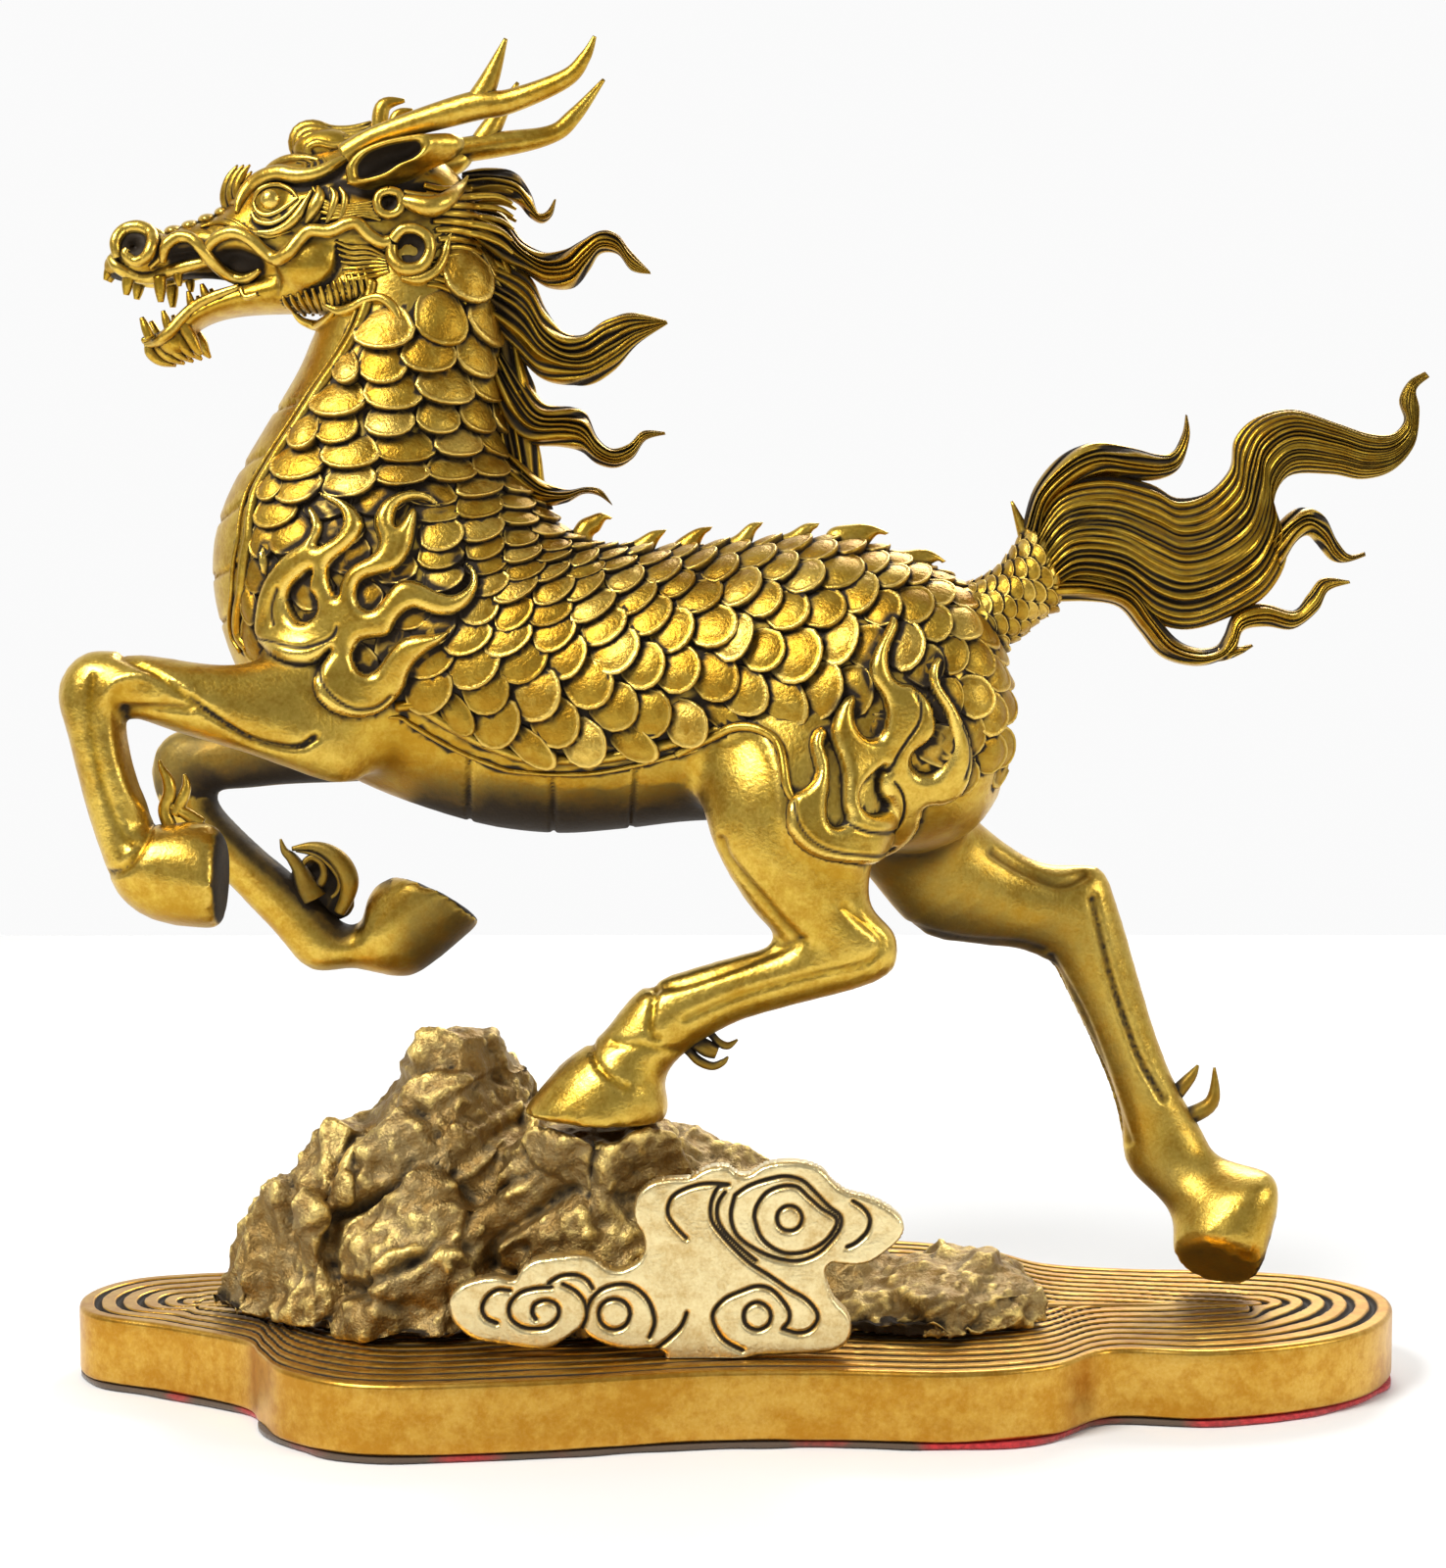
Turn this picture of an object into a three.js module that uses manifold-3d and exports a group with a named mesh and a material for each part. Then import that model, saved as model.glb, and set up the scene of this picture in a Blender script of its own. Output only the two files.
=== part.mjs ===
// A brass dragon horse: a scaled horse with a horned dragon's head, running over a rock.
// Millimetres, +Z up. The origin is the middle of the felt's underside, and the head looks along -X.
// The horse is one hollow casting. The rock, the cloud, the base plate and its felt are separate pieces.
import * as THREE from "three";
import { mergeVertices } from "three/addons/utils/BufferGeometryUtils.js";
import Module from "manifold-3d";

const wasm = await Module();
wasm.setup();

// Driving dimensions
const FELT_THICK = 0.9; // red felt glued under the plate
const GAP = 0.3; // clearance between pieces that touch
const PLATE_TOP = 15; // height of the base plate's rim
const PLATE_EDGE = 1; // rounding along the rim
const RIPPLE_PITCH = 5.4; // distance between the grooves cut in the plate's top
const RIPPLE_DEPTH = 1.2;
const RIPPLES = 3;
const LOBE_REACH = 108; // how far along X the middle line of the plate's lobes runs
const CLOUD_BACK = -37.5; // the cloud stands upright at the front of the rock
const CLOUD_THICK = 4;
const SCALE_RISE = 0.7; // how far the tips of the scales stand off the body
const FLAME_FLATNESS = 0.8; // height of the flame tongues over their half width
const LOCK_GROOVE = 0.16; // depth of the grooves in mane and tail, as a share of the lock
const PLATE_FOOT = PLATE_TOP + GAP; // what stands on the plate starts here

// A material has the colour, roughness and metalness of its finish.
function finish(color, roughness, metalness) {
  return new THREE.MeshStandardMaterial({ color, roughness, metalness });
}

// A closed mesh from points and triangles, turned so that its faces point out.
function closedGeometry(points, triangles) {
  const geometry = new THREE.BufferGeometry();
  geometry.setAttribute("position", new THREE.Float32BufferAttribute(points, 3));
  geometry.setIndex(triangles);
  let volume = 0;
  const corner = [new THREE.Vector3(), new THREE.Vector3(), new THREE.Vector3()];
  for (let i = 0; i < triangles.length; i += 3) {
    corner.forEach((v, k) => v.fromArray(points, triangles[i + k] * 3));
    volume += corner[0].dot(corner[1].cross(corner[2]));
  }
  if (volume < 0) {
    for (let i = 0; i < triangles.length; i += 3) {
      [triangles[i], triangles[i + 1]] = [triangles[i + 1], triangles[i]];
    }
    geometry.setIndex(triangles);
  }
  return geometry;
}

// A closed skin over rings of points that all have the same count, with a flat fan at each end.
// Where turned is true for a ring and a side, that square is split along its other diagonal.
function skin(rings, turned = () => false) {
  const sides = rings[0].length;
  const points = rings.flat().flatMap((p) => [p.x, p.y, p.z]);
  const triangles = [];
  for (let i = 0; i + 1 < rings.length; i += 1) {
    for (let j = 0; j < sides; j += 1) {
      const a = i * sides + j;
      const b = i * sides + ((j + 1) % sides);
      if (turned(i, j)) triangles.push(a, b, a + sides, b, b + sides, a + sides);
      else triangles.push(a, b, b + sides, a, b + sides, a + sides);
    }
  }
  for (const end of [0, rings.length - 1]) {
    const middle = new THREE.Vector3();
    rings[end].forEach((p) => middle.addScaledVector(p, 1 / sides));
    points.push(middle.x, middle.y, middle.z);
    const tip = points.length / 3 - 1;
    for (let j = 0; j < sides; j += 1) {
      const a = end * sides + j;
      const b = end * sides + ((j + 1) % sides);
      triangles.push(...(end === 0 ? [tip, b, a] : [tip, a, b]));
    }
  }
  return closedGeometry(points, triangles);
}

// Smooth rows between the given ones: every row is a list of numbers, and steps are made between two.
function smoothRows(rows, steps) {
  const out = [];
  const pick = (i) => rows[Math.min(Math.max(i, 0), rows.length - 1)];
  for (let i = 0; i + 1 < rows.length; i += 1) {
    for (let s = 0; s < steps; s += 1) {
      const t = s / steps;
      const [a, b, c, d] = [pick(i - 1), pick(i), pick(i + 1), pick(i + 2)];
      out.push(
        b.map((_, k) => {
          const slope = c[k] - a[k];
          const bend = 2 * a[k] - 5 * b[k] + 4 * c[k] - d[k];
          const turn = 3 * b[k] - a[k] - 3 * c[k] + d[k];
          return b[k] + 0.5 * t * (slope + t * (bend + t * turn));
        }),
      );
    }
  }
  out.push(rows.at(-1));
  return out;
}

// A body seen from the side. Each station is [low x, low z, high x, high z, middle y, half depth]:
// the two ends of one section in side view, where it stands in depth, and half its depth. Two more
// numbers lean the near side of a section along x and z.
function body(stations, { sides = 10, steps = 1, relief = () => 1, turned } = {}) {
  const rows = smoothRows(stations.map((row) => [...row, 0, 0].slice(0, 8)), steps);
  const rings = rows.map(([lowX, lowZ, highX, highZ, y, halfDepth, leanX, leanZ], i) => {
    const ring = [];
    for (let j = 0; j < sides; j += 1) {
      const angle = (2 * Math.PI * j) / sides;
      const swell = relief(i, j, angle, i / (rows.length - 1));
      const up = 0.5 - 0.5 * Math.cos(angle) * swell;
      const near = Math.sin(angle) * swell;
      ring.push(
        new THREE.Vector3(
          lowX + (highX - lowX) * up + leanX * near,
          y - halfDepth * near,
          lowZ + (highZ - lowZ) * up + leanZ * near,
        ),
      );
    }
    return ring;
  });
  return skin(rings, turned);
}

// A round bar that tapers: each point is [x, y, z, radius].
function bar(points, { sides = 4, flat = 1 } = {}) {
  const spots = points.map(([x, y, z]) => new THREE.Vector3(x, y, z));
  const across = new THREE.Vector3(0, 1, 0);
  const rings = points.map(([, , , radius], i) => {
    const ahead = spots[Math.min(i + 1, spots.length - 1)];
    const along = ahead.clone().sub(spots[Math.max(i - 1, 0)]).normalize();
    const up = along.clone().cross(across).normalize();
    const side = up.clone().cross(along).normalize();
    const ring = [];
    for (let j = 0; j < sides; j += 1) {
      const angle = (2 * Math.PI * j) / sides;
      ring.push(
        spots[i]
          .clone()
          .addScaledVector(up, Math.cos(angle) * radius)
          .addScaledVector(side, Math.sin(angle) * radius * flat),
      );
    }
    return ring;
  });
  return skin(rings);
}

// A ring seen face on from the side, of round bar.
function hoop(x, y, z, radius, thick) {
  const geometry = new THREE.TorusGeometry(radius, thick, 3, 8);
  geometry.rotateX(Math.PI / 2);
  return geometry.translate(x, y, z);
}

// A squashed ball.
function ball(x, y, z, radiusX, radiusY, radiusZ) {
  const geometry = new THREE.SphereGeometry(1, 6, 4);
  return geometry.scale(radiusX, radiusY, radiusZ).translate(x, y, z);
}

// The same thing on the other side of the middle plane.
function otherSide(geometry) {
  const points = [...geometry.attributes.position.array];
  for (let i = 1; i < points.length; i += 3) points[i] = -points[i];
  return closedGeometry(points, [...geometry.index.array]);
}

function toSolid(geometry) {
  const bare = geometry.clone();
  bare.deleteAttribute("normal");
  bare.deleteAttribute("uv");
  const merged = mergeVertices(bare, 1e-4);
  return new wasm.Manifold(
    new wasm.Mesh({
      numProp: 3,
      vertProperties: merged.attributes.position.array,
      triVerts: new Uint32Array(merged.index.array),
    }),
  );
}

function joined(geometries) {
  return geometries.map(toSolid).reduce((whole, next) => whole.add(next));
}

function toMesh(solid, name, material) {
  const { vertProperties, triVerts } = solid.getMesh();
  const geometry = new THREE.BufferGeometry();
  geometry.setAttribute("position", new THREE.BufferAttribute(new Float32Array(vertProperties), 3));
  geometry.setIndex(new THREE.BufferAttribute(triVerts, 1));
  geometry.computeVertexNormals();
  const mesh = new THREE.Mesh(geometry, material);
  mesh.name = name;
  return mesh;
}

// The horse's stations follow one line from the head down the neck and along the back to the rump.
const TRUNK = [
  [-77.5, 222, -54.5, 239, 0, 12],
  [-82, 215, -47, 228.5, 0, 13.5],
  [-85.5, 207, -46.5, 215, 0, 15],
  [-91.5, 197, -46, 202.5, 0, 17],
  [-97.5, 187, -45, 192.5, 0, 19.5],
  [-102, 177, -41.5, 184.5, 0, 22],
  [-103.5, 166, -36.5, 179, 0, 24],
  [-101.5, 154, -31.5, 174, 0, 25],
  [-96.5, 142, -25.5, 171.5, 0, 25.5],
  [-86.5, 130, -19, 171, 0, 25.5],
  [-74.5, 123.5, -12.5, 170.5, 0, 25],
  [-61.5, 118.5, -6.5, 170.5, 0, 24.5],
  [-47.5, 114.5, 0.5, 171, 0, 24.5],
  [-33.5, 113, 7.5, 171.5, 0, 24.5],
  [-19.5, 114, 15.5, 172, 0, 24.5],
  [-6.5, 115.5, 22.5, 172, 0, 24.5],
  [6.5, 115.5, 30, 170.5, 0, 25],
  [19.5, 113, 37, 168.5, 0, 25.5],
  [32.5, 109.5, 44, 165.5, 0, 25],
  [43.5, 109.5, 49.5, 161.5, 0, 22.5],
  [51.5, 114, 54, 153, 0, 17],
  [56.5, 121, 57, 143, 0, 9],
];
const BELLY_HALF_NECK = 0.6; // half width of the smooth belly strip, in radians, on the throat
const BELLY_HALF_BODY = 1.0; // and under the barrel

// Scale tips alternate from row to row, and the belly strip stays smooth.
function scales(ring, side, angle, share) {
  const strip = THREE.MathUtils.lerp(BELLY_HALF_NECK, BELLY_HALF_BODY, Math.min(share * 2, 1));
  const fromLow = Math.min(angle, 2 * Math.PI - angle);
  const tip = (ring + side) % 2 === 0;
  return 1 + (tip && fromLow > strip ? SCALE_RISE / 20 : 0);
}

// The legs, each one body from inside the trunk down to the sole. The near ones stand towards -Y.
// The two ends of a section keep to the inside and the outside of each bend.
const LEGS = {
  nearFore: [
    [-66.5, 126.5, -78.5, 155.5, -15, 8],
    [-75, 122.5, -85.5, 150, -22, 9],
    [-93.5, 129.5, -98.5, 149.5, -25, 8.5],
    [-103, 133.5, -105.5, 149.5, -25.5, 8],
    [-113, 137.5, -113, 150.5, -26, 7.5],
    [-116.5, 138.5, -124, 151, -26, 7],
    [-116.5, 137, -129.5, 144, -26, 7.5],
    [-116, 131.5, -127.5, 134, -26, 7.5],
    [-113.5, 122, -124.5, 121, -26, 7],
    [-112, 116.5, -121.5, 111.5, -26, 7.5],
    [-107.5, 117.5, -118, 103, -26, 9],
    [-102, 118, -110.5, 98, -26, 10],
    [-97.5, 115.5, -98, 96.5, -26, 10.5],
  ],
  farFore: [
    [-64, 124, -66, 147, 14, 8],
    [-78, 120, -80, 143, 18, 8.5],
    [-92.5, 120, -93.5, 139, 20, 8],
    [-103, 120, -106, 134, 21, 7.5],
    [-106.5, 120.5, -117, 132, 21.5, 7],
    [-107.5, 119, -121, 124, 22, 6.5],
    [-105.5, 115.5, -117, 112.5, 22, 6],
    [-98, 108, -107, 102, 22, 5.5],
    [-87.5, 99, -96.5, 91, 22, 5.5],
    [-81, 92, -88, 81.8, 22, 6.3],
    [-77, 91.5, -78.5, 82, 22, 6.2],
    [-75.5, 97, -71.5, 80.5, 22, 8],
    [-73.5, 100, -64.5, 81, 22, 9, 1, 1],
    [-69.5, 102, -51, 92, 22, 10.5, 2, 2.5],
  ],
  nearHind: [
    [-0.5, 136, 21.5, 147.5, -15, 9],
    [-4, 128.5, 29.5, 136.5, -19, 11],
    [-4.5, 122, 32, 125, -21, 11.5],
    [-3, 115, 31, 113.5, -22, 10.5],
    [1, 107, 29, 106.5, -23, 9],
    [6, 99.5, 29.5, 100.5, -23, 8],
    [11, 94, 34.5, 94.5, -23, 7.3],
    [8.5, 92.7, 32, 86.5, -23, 7],
    [-4.5, 89, 12, 80.5, -23, 6.3],
    [-12, 86.5, 2.5, 77.5, -23, 6.5],
    [-17.5, 83.5, -7.5, 71.5, -23, 7],
    [-24.5, 75, -11.5, 66, -23, 8],
    [-32, 69.5, -10.5, 62, -23, 10],
    [-40.5, 59.2, -11, 57.6, -23, 11.5],
  ],
  farHind: [
    [16, 118, 30, 141, 12, 9],
    [28, 103, 40, 129, 15, 10.5],
    [41, 90.5, 51, 117.5, 18, 10.5],
    [51.5, 87.5, 60.5, 108.5, 20, 9],
    [61.5, 86.5, 69, 104.5, 20, 7.5],
    [69, 83.5, 79.5, 104, 20, 6.5],
    [72, 78.5, 83.5, 96, 20, 6.2],
    [80, 62, 91, 71.5, 20, 5.8],
    [84, 50.5, 96, 58.5, 20, 6.2],
    [86, 40, 102, 48, 20, 7],
    [92, 34, 105.5, 42.5, 17, 7.2],
    [95, 30.5, 116.5, 38, 12, 8.6, 2, 2.5],
    [95, 26, 111.5, 17.8, 7, 6.5, 3.5, 5],
  ],
};

// The head is a skull that opens into two jaws. Its features stand on both sides.
const SKULL = [
  [-124.5, 226, -124, 229, 0, 3],
  [-121, 224.5, -121, 232, 0, 6],
  [-116, 224.5, -116, 232.5, 0, 8],
  [-109, 225, -109.5, 235, 0, 8.5],
  [-102, 225, -101.5, 237.5, 0, 9],
  [-95.5, 223.5, -96.5, 242, 0, 10.5],
  [-87.5, 221, -89, 248, 0, 12],
  [-78.5, 219.5, -80, 251, 0, 13],
  [-69.5, 219, -71, 253, 0, 13],
  [-62, 220.5, -61, 251, 0, 12.5],
  [-55, 225, -53, 245.5, 0, 11],
  [-50.5, 231, -49, 238.5, 0, 7],
];
const JAW = [
  [-117.5, 212, -117.5, 213.5, 0, 2],
  [-113, 211.5, -113.5, 214.5, 0, 3.5],
  [-108.5, 213, -109.5, 217, 0, 5.5],
  [-103.5, 216, -104.5, 220.5, 0, 7],
  [-97.5, 217.5, -98.5, 223.5, 0, 8],
  [-88.5, 218, -89.5, 227, 0, 9.5],
  [-80, 217.5, -81, 229.5, 0, 11],
  [-76, 211, -74, 224, 0, 10],
];
const EAR = [
  [-75, 243, -75, 245.5, -9.5, 2],
  [-70, 242.5, -71, 248.5, -10.5, 4.2],
  [-60, 243.8, -62, 250.5, -10, 4.8],
  [-52, 246.5, -52.5, 248, -8.5, 1],
];
const EAR_HOLLOW = [
  [-72.5, -15, 245, 0.8],
  [-65, -15.2, 247.2, 2.5],
  [-58, -14.5, 249.5, 0.6],
];
// Whiskers, brows and horn curls of the near side, each mirrored to the far side.
const NEAR_BARS = {
  upperWhisker: [
    [-112, -7, 228, 1.2],
    [-107.5, -9, 232.5, 1.4],
    [-98, -10, 225, 1.6],
    [-92, -10.5, 225.5, 0.8],
  ],
  longWhisker: [
    [-103.5, -8.5, 228, 1.2],
    [-97.5, -10.5, 234, 1.5],
    [-88, -12.5, 228, 1.5],
    [-80, -13, 235, 1.5],
    [-65, -13, 230.5, 1.5],
  ],
  brow: [
    [-97, -8, 238, 1.4],
    [-90, -9, 245, 2.6],
    [-77, -9.5, 246, 1.8],
  ],
  cheekHorn: [
    [-64, -12, 238.5, 2],
    [-56, -14, 239, 2.2],
    [-51, -13, 244.5, 0.4],
  ],
  upperTooth: [
    [-115, -6, 226, 1.8],
    [-114.5, -6, 221.5, 0.4],
  ],
  frontTooth: [
    [-121, -4, 226, 1.6],
    [-120.8, -4, 222, 0.4],
  ],
  lowerFang: [
    [-107, -4.5, 215.5, 1.7],
    [-107.5, -4.5, 222.5, 0.4],
  ],
};
const ANTLERS = {
  nearBeam: [
    [-75, -8, 248.5, 2.4],
    [-67.5, -9, 252.5, 2.2],
    [-50, -11, 257.5, 2.9],
    [-42, -12, 258.5, 2.4],
    [-31, -14, 262.5, 1.8],
    [-27, -15, 266.5, 1.2],
    [-25, -15.5, 270.5, 0.4],
  ],
  nearProng: [
    [-50, -11, 257, 2],
    [-46.5, -11.5, 261.5, 2.1],
    [-42.5, -13, 270.5, 0.4],
  ],
  farBeam: [
    [-72, 8, 249, 2.2],
    [-47.5, 11, 253, 2.6],
    [-35.5, 13, 255.5, 1.9],
    [-30.5, 14, 259.5, 1.6],
    [-24.5, 15.5, 267, 0.4],
  ],
  farProng: [
    [-50.5, 11, 252.5, 2],
    [-47.5, 11.5, 256.5, 2.2],
    [-42, 13, 266, 0.4],
  ],
  nearCurl: [
    [-68.5, -3, 250, 1.6],
    [-68, -3, 258.5, 1.6],
    [-63.5, -3, 260, 0.4],
  ],
  farCurl: [
    [-67, 3, 250, 1.4],
    [-66, 3, 257.5, 1.2],
    [-62.5, 3, 259, 0.4],
  ],
  foreheadCrest: [
    [-85, 0, 246, 3],
    [-83.5, 0, 253, 3.4],
    [-77, 0, 254, 2.8],
    [-66, 0, 254.5, 1.4],
  ],
  browSpike: [
    [-98.5, 5, 238, 2],
    [-100.5, 6, 246.5, 0.3],
  ],
  chinTuft: [
    [-108, 0, 215, 4.4],
    [-111.5, 0, 211, 4],
    [-112, 0, 206.5, 1.2],
  ],
};

// Mane and tail are locks of hair: one body each, with grooves along it.
const MANE = [
  [
    [-56, 236, -55, 246, 0, 5],
    [-45, 240.5, -44, 247.5, 0, 5],
    [-38, 237.5, -37, 242.5, 0, 3],
    [-33.5, 240, -34, 240.5, 0, 0.6],
  ],
  [
    [-54, 227, -55, 239, 0, 6.5],
    [-43, 227, -44.5, 239, 0, 6],
    [-37, 222.5, -37.5, 232, 0, 5],
    [-30.5, 222.5, -31.5, 230.5, 0, 4.2],
    [-24.5, 230, -25, 234.5, 0, 3],
    [-18, 226.5, -17.5, 229, 0, 1.5],
    [-14.5, 226, -14.5, 226.5, 0, 0.5],
  ],
  [
    [-54, 211, -53.5, 231, 0, 7],
    [-44, 204, -41, 226, 0, 6.5],
    [-34.5, 203, -31.5, 215.5, 0, 5.6],
    [-26.5, 204.5, -27.5, 215, 0, 4.8],
    [-19.5, 208, -21.5, 217.5, 0, 4],
    [-14.5, 213, -16, 218.5, 0, 2.8],
    [-11, 216, -11.5, 217, 0, 0.6],
  ],
  [
    [-52, 195, -46, 219, 0, 6.5],
    [-42.5, 188, -38.5, 203.5, 0, 6],
    [-34.5, 190.2, -33.5, 200.5, 0, 5],
    [-26, 188.5, -28, 198.5, 0, 3.6],
    [-20.5, 188, -19, 192.5, 0, 2.2],
    [-11, 194, -11.5, 195, 0, 0.5],
  ],
  [
    [-52, 186, -46, 200, 0, 6],
    [-41, 178, -38.5, 187, 0, 5],
    [-29, 180.5, -29, 183.8, 0, 3],
    [-22, 179, -22, 180, 0, 0.5],
  ],
];
const TAIL = [
  [
    [69, 168, 60.5, 171, 0, 6],
    [68, 179, 62, 181, 0, 6],
    [73, 184.5, 69, 190, 0, 5.5],
    [79.5, 186, 76.5, 193, 0, 5],
    [86.5, 186, 85.5, 191, 0, 4],
    [91.5, 188, 90, 191.5, 0, 2.8],
    [94, 198, 93.5, 198.5, 0, 0.5],
  ],
  [
    [66, 158, 58, 167, 0, 7],
    [73, 161.5, 66, 181.5, 0, 7],
    [85, 157.5, 79.5, 187, 0, 7],
    [100, 155.5, 94.5, 183.5, 0, 7],
    [111, 162, 100, 184, 0, 6.5],
    [113.5, 173.5, 103.5, 190, 0, 6],
    [112, 183.5, 108.5, 198.5, 0, 5.4],
    [124.5, 185.5, 121, 197.5, 0, 4.6],
    [133, 185.5, 129, 194.5, 0, 4],
    [141, 194.5, 135.5, 196, 0, 3],
    [139, 201.5, 136, 201.5, 0, 1.6],
    [142.5, 206, 142, 206.5, 0, 0.5],
  ],
  [
    [70, 159.5, 71, 166, 0, 6],
    [77.5, 161, 80, 168, 0, 6],
    [87, 151.5, 91, 159.5, 0, 5.6],
    [97, 146.8, 97.5, 151.6, 0, 4.6],
    [105.5, 150, 101, 156, 0, 3.8],
    [107, 155, 106, 160, 0, 3],
    [116, 155, 115.5, 158.8, 0, 2.4],
    [127.5, 164, 127.5, 164.5, 0, 0.5],
  ],
  [
    [108, 163, 105.5, 171, 0, 4],
    [114, 167, 111, 174, 0, 3.6],
    [116, 172, 114, 178, 0, 3.2],
    [119, 173, 118.5, 179, 0, 2.8],
    [122, 171, 123, 174, 0, 2.2],
    [130.5, 169.5, 130.5, 170.5, 0, 0.5],
  ],
];
const TAIL_ROOT = [
  [43, 142, 41, 162, 0, 10],
  [49, 145, 47, 163, 0, 8.5],
  [54.5, 150, 52, 164, 0, 7.5],
  [60, 153.5, 57, 167.5, 0, 7],
  [64.5, 157.5, 60.5, 172.5, 0, 6.5],
  [70, 160, 64, 177, 0, 6.5],
];

// Hair: every other line of the section is sunk.
function hair(ring, side) {
  return side % 2 === 0 ? 1 : 1 - LOCK_GROOVE;
}

// The flames on shoulder and haunch: tongues of [x, z, radius] that lie on the body's side.
const SHOULDER_FLAMES = [
  [[-80, 151, 3], [-90, 150, 3.6], [-94.5, 157, 3.8], [-84, 168.5, 2.8], [-84, 176, 0.6]],
  [[-83, 154, 3], [-76, 169, 2.8], [-77.5, 178, 0.8]],
  [[-75, 150, 4.2], [-75, 158, 4], [-71, 168, 3.2], [-68.5, 178, 2.6], [-60.5, 177.5, 0.8]],
  [[-74, 150, 3.4], [-65.5, 159, 3], [-56, 156, 2.6], [-55, 166, 0.6]],
  [[-77, 147, 3.6], [-77, 138, 3.6], [-69, 138.5, 3.6], [-56, 150.5, 0.8]],
];
const HAUNCH_FLAMES = [
  [[16, 122, 4], [28, 115, 4.6], [42, 117.5, 4.4], [47.5, 131, 3.6], [42, 144, 1]],
  [[24, 120, 4], [26, 132, 3.4], [26, 143, 0.8]],
  [[36, 122, 4], [35, 133, 3.2], [30, 143, 2.8], [34.5, 155, 0.8]],
];

// The far side is plainer.
const FAR_FLAMES = [SHOULDER_FLAMES[2], HAUNCH_FLAMES[0]];

// The row of fins on the back: where each starts on the back, and where its tip is.
const FINS = [
  [-27, 170, -22.5, 176.5],
  [-17, 169, -11.5, 174],
  [-7, 168.5, -2, 174.5],
  [3, 169, 8, 175.5],
  [14, 170, 20, 175.5],
  [27, 169, 34, 172],
  [38, 165, 45, 167],
];
// Curls of hair behind knees and fetlocks, and at the root of the tail.
const CURLS = [
  [[-90, 22, 103, 1.6], [-94, 22, 109.5, 0.3]],
  [[-117, 22, 126.5, 1.4], [-119.5, 22, 119.5, 4.4], [-118.5, 22, 111, 3]],
  [[-9, -23, 76, 2.4], [-4.5, -23, 71, 2], [2, -23, 72, 0.5]],
  [[96, 20, 55, 1.8], [99.5, 20, 59, 1.2], [101, 20, 61.5, 0.3]],
  [[98, 20, 50, 2], [104, 20, 53.5, 1.6], [104.5, 20, 61, 0.3]],
  [[61.5, 0, 173, 1.6], [58.5, 0, 180.5, 0.3]],
];

// How far the side of the body stands out at x and z: the near stations' depth there.
const SIDE_ROWS = smoothRows(TRUNK, 3);
function sideDepth(x, z) {
  let best = 0;
  let nearest = Infinity;
  for (const [lowX, lowZ, highX, highZ, , halfDepth] of SIDE_ROWS) {
    const length = Math.hypot(highX - lowX, highZ - lowZ);
    const share = ((x - lowX) * (highX - lowX) + (z - lowZ) * (highZ - lowZ)) / length ** 2;
    const off = Math.hypot(lowX + (highX - lowX) * share - x, lowZ + (highZ - lowZ) * share - z);
    if (off < nearest) {
      nearest = off;
      best = halfDepth * Math.sqrt(Math.max(0.1, 1 - (2 * share - 1) ** 2));
    }
  }
  return best;
}

function flame(tongue) {
  const points = tongue.map(([x, z, radius]) => [x, -sideDepth(x, z), z, radius]);
  return bar(points, { flat: FLAME_FLATNESS });
}

// A fin rises from the back like a wave and hooks towards the tail.
function fin([x, z, tipX, tipZ]) {
  const low = [x - 4, z - 2, x + 3, z - 2, 0, 2];
  const waist = [(x + tipX) / 2 - 2.5, z + 1.5, (x + tipX) / 2 + 1.8, z, 0, 1.4];
  const hook = [tipX - 2.2, tipZ + 0.2, tipX - 1.4, tipZ - 2, 0, 0.9];
  return body([low, waist, hook, [tipX, tipZ - 0.4, tipX, tipZ - 0.8, 0, 0.3]], { sides: 4 });
}

function dragonHorse() {
  const both = (geometry) => [geometry, otherSide(geometry)];
  const parts = [
    body(TRUNK, { sides: 16, steps: 2, relief: scales, turned: (i, j) => (i + j) % 2 === 0 }),
    body(SKULL, { sides: 8 }),
    body(JAW, { sides: 8 }),
    body(TAIL_ROOT, { sides: 8, relief: (i, j) => ((i + j) % 2 ? 1 : 1.06) }),
    ...Object.values(LEGS).map((leg) => body(leg, { sides: 8 })),
    ...both(body(EAR, { sides: 5 })),
    ...Object.values(NEAR_BARS).flatMap((points) => both(bar(points, { sides: 3 }))),
    ...Object.values(ANTLERS).map((points) => bar(points)),
    ...both(hoop(-117.5, -6.5, 231.5, 2.6, 1.1)),
    hoop(-61, -12.2, 230.5, 3.8, 1.2),
    ...both(ball(-89, -10.6, 239.5, 3.6, 2.4, 2.8)),
    ...MANE.map((lock) => body(lock, { sides: 8, relief: hair })),
    ...TAIL.map((lock) => body(lock, { sides: 8, relief: hair })),
    ...FINS.map(fin),
    ball(-85, 22, 100.5, 7.2, 3.2, 7.4),
    ...CURLS.map((points) => bar(points)),
    ...SHOULDER_FLAMES.map(flame),
    ...HAUNCH_FLAMES.map(flame),
    ...FAR_FLAMES.map(flame).map(otherSide),
  ];
  const hollows = both(bar(EAR_HOLLOW));
  return hollows.reduce((whole, hollow) => whole.subtract(toSolid(hollow)), joined(parts));
}

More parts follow.
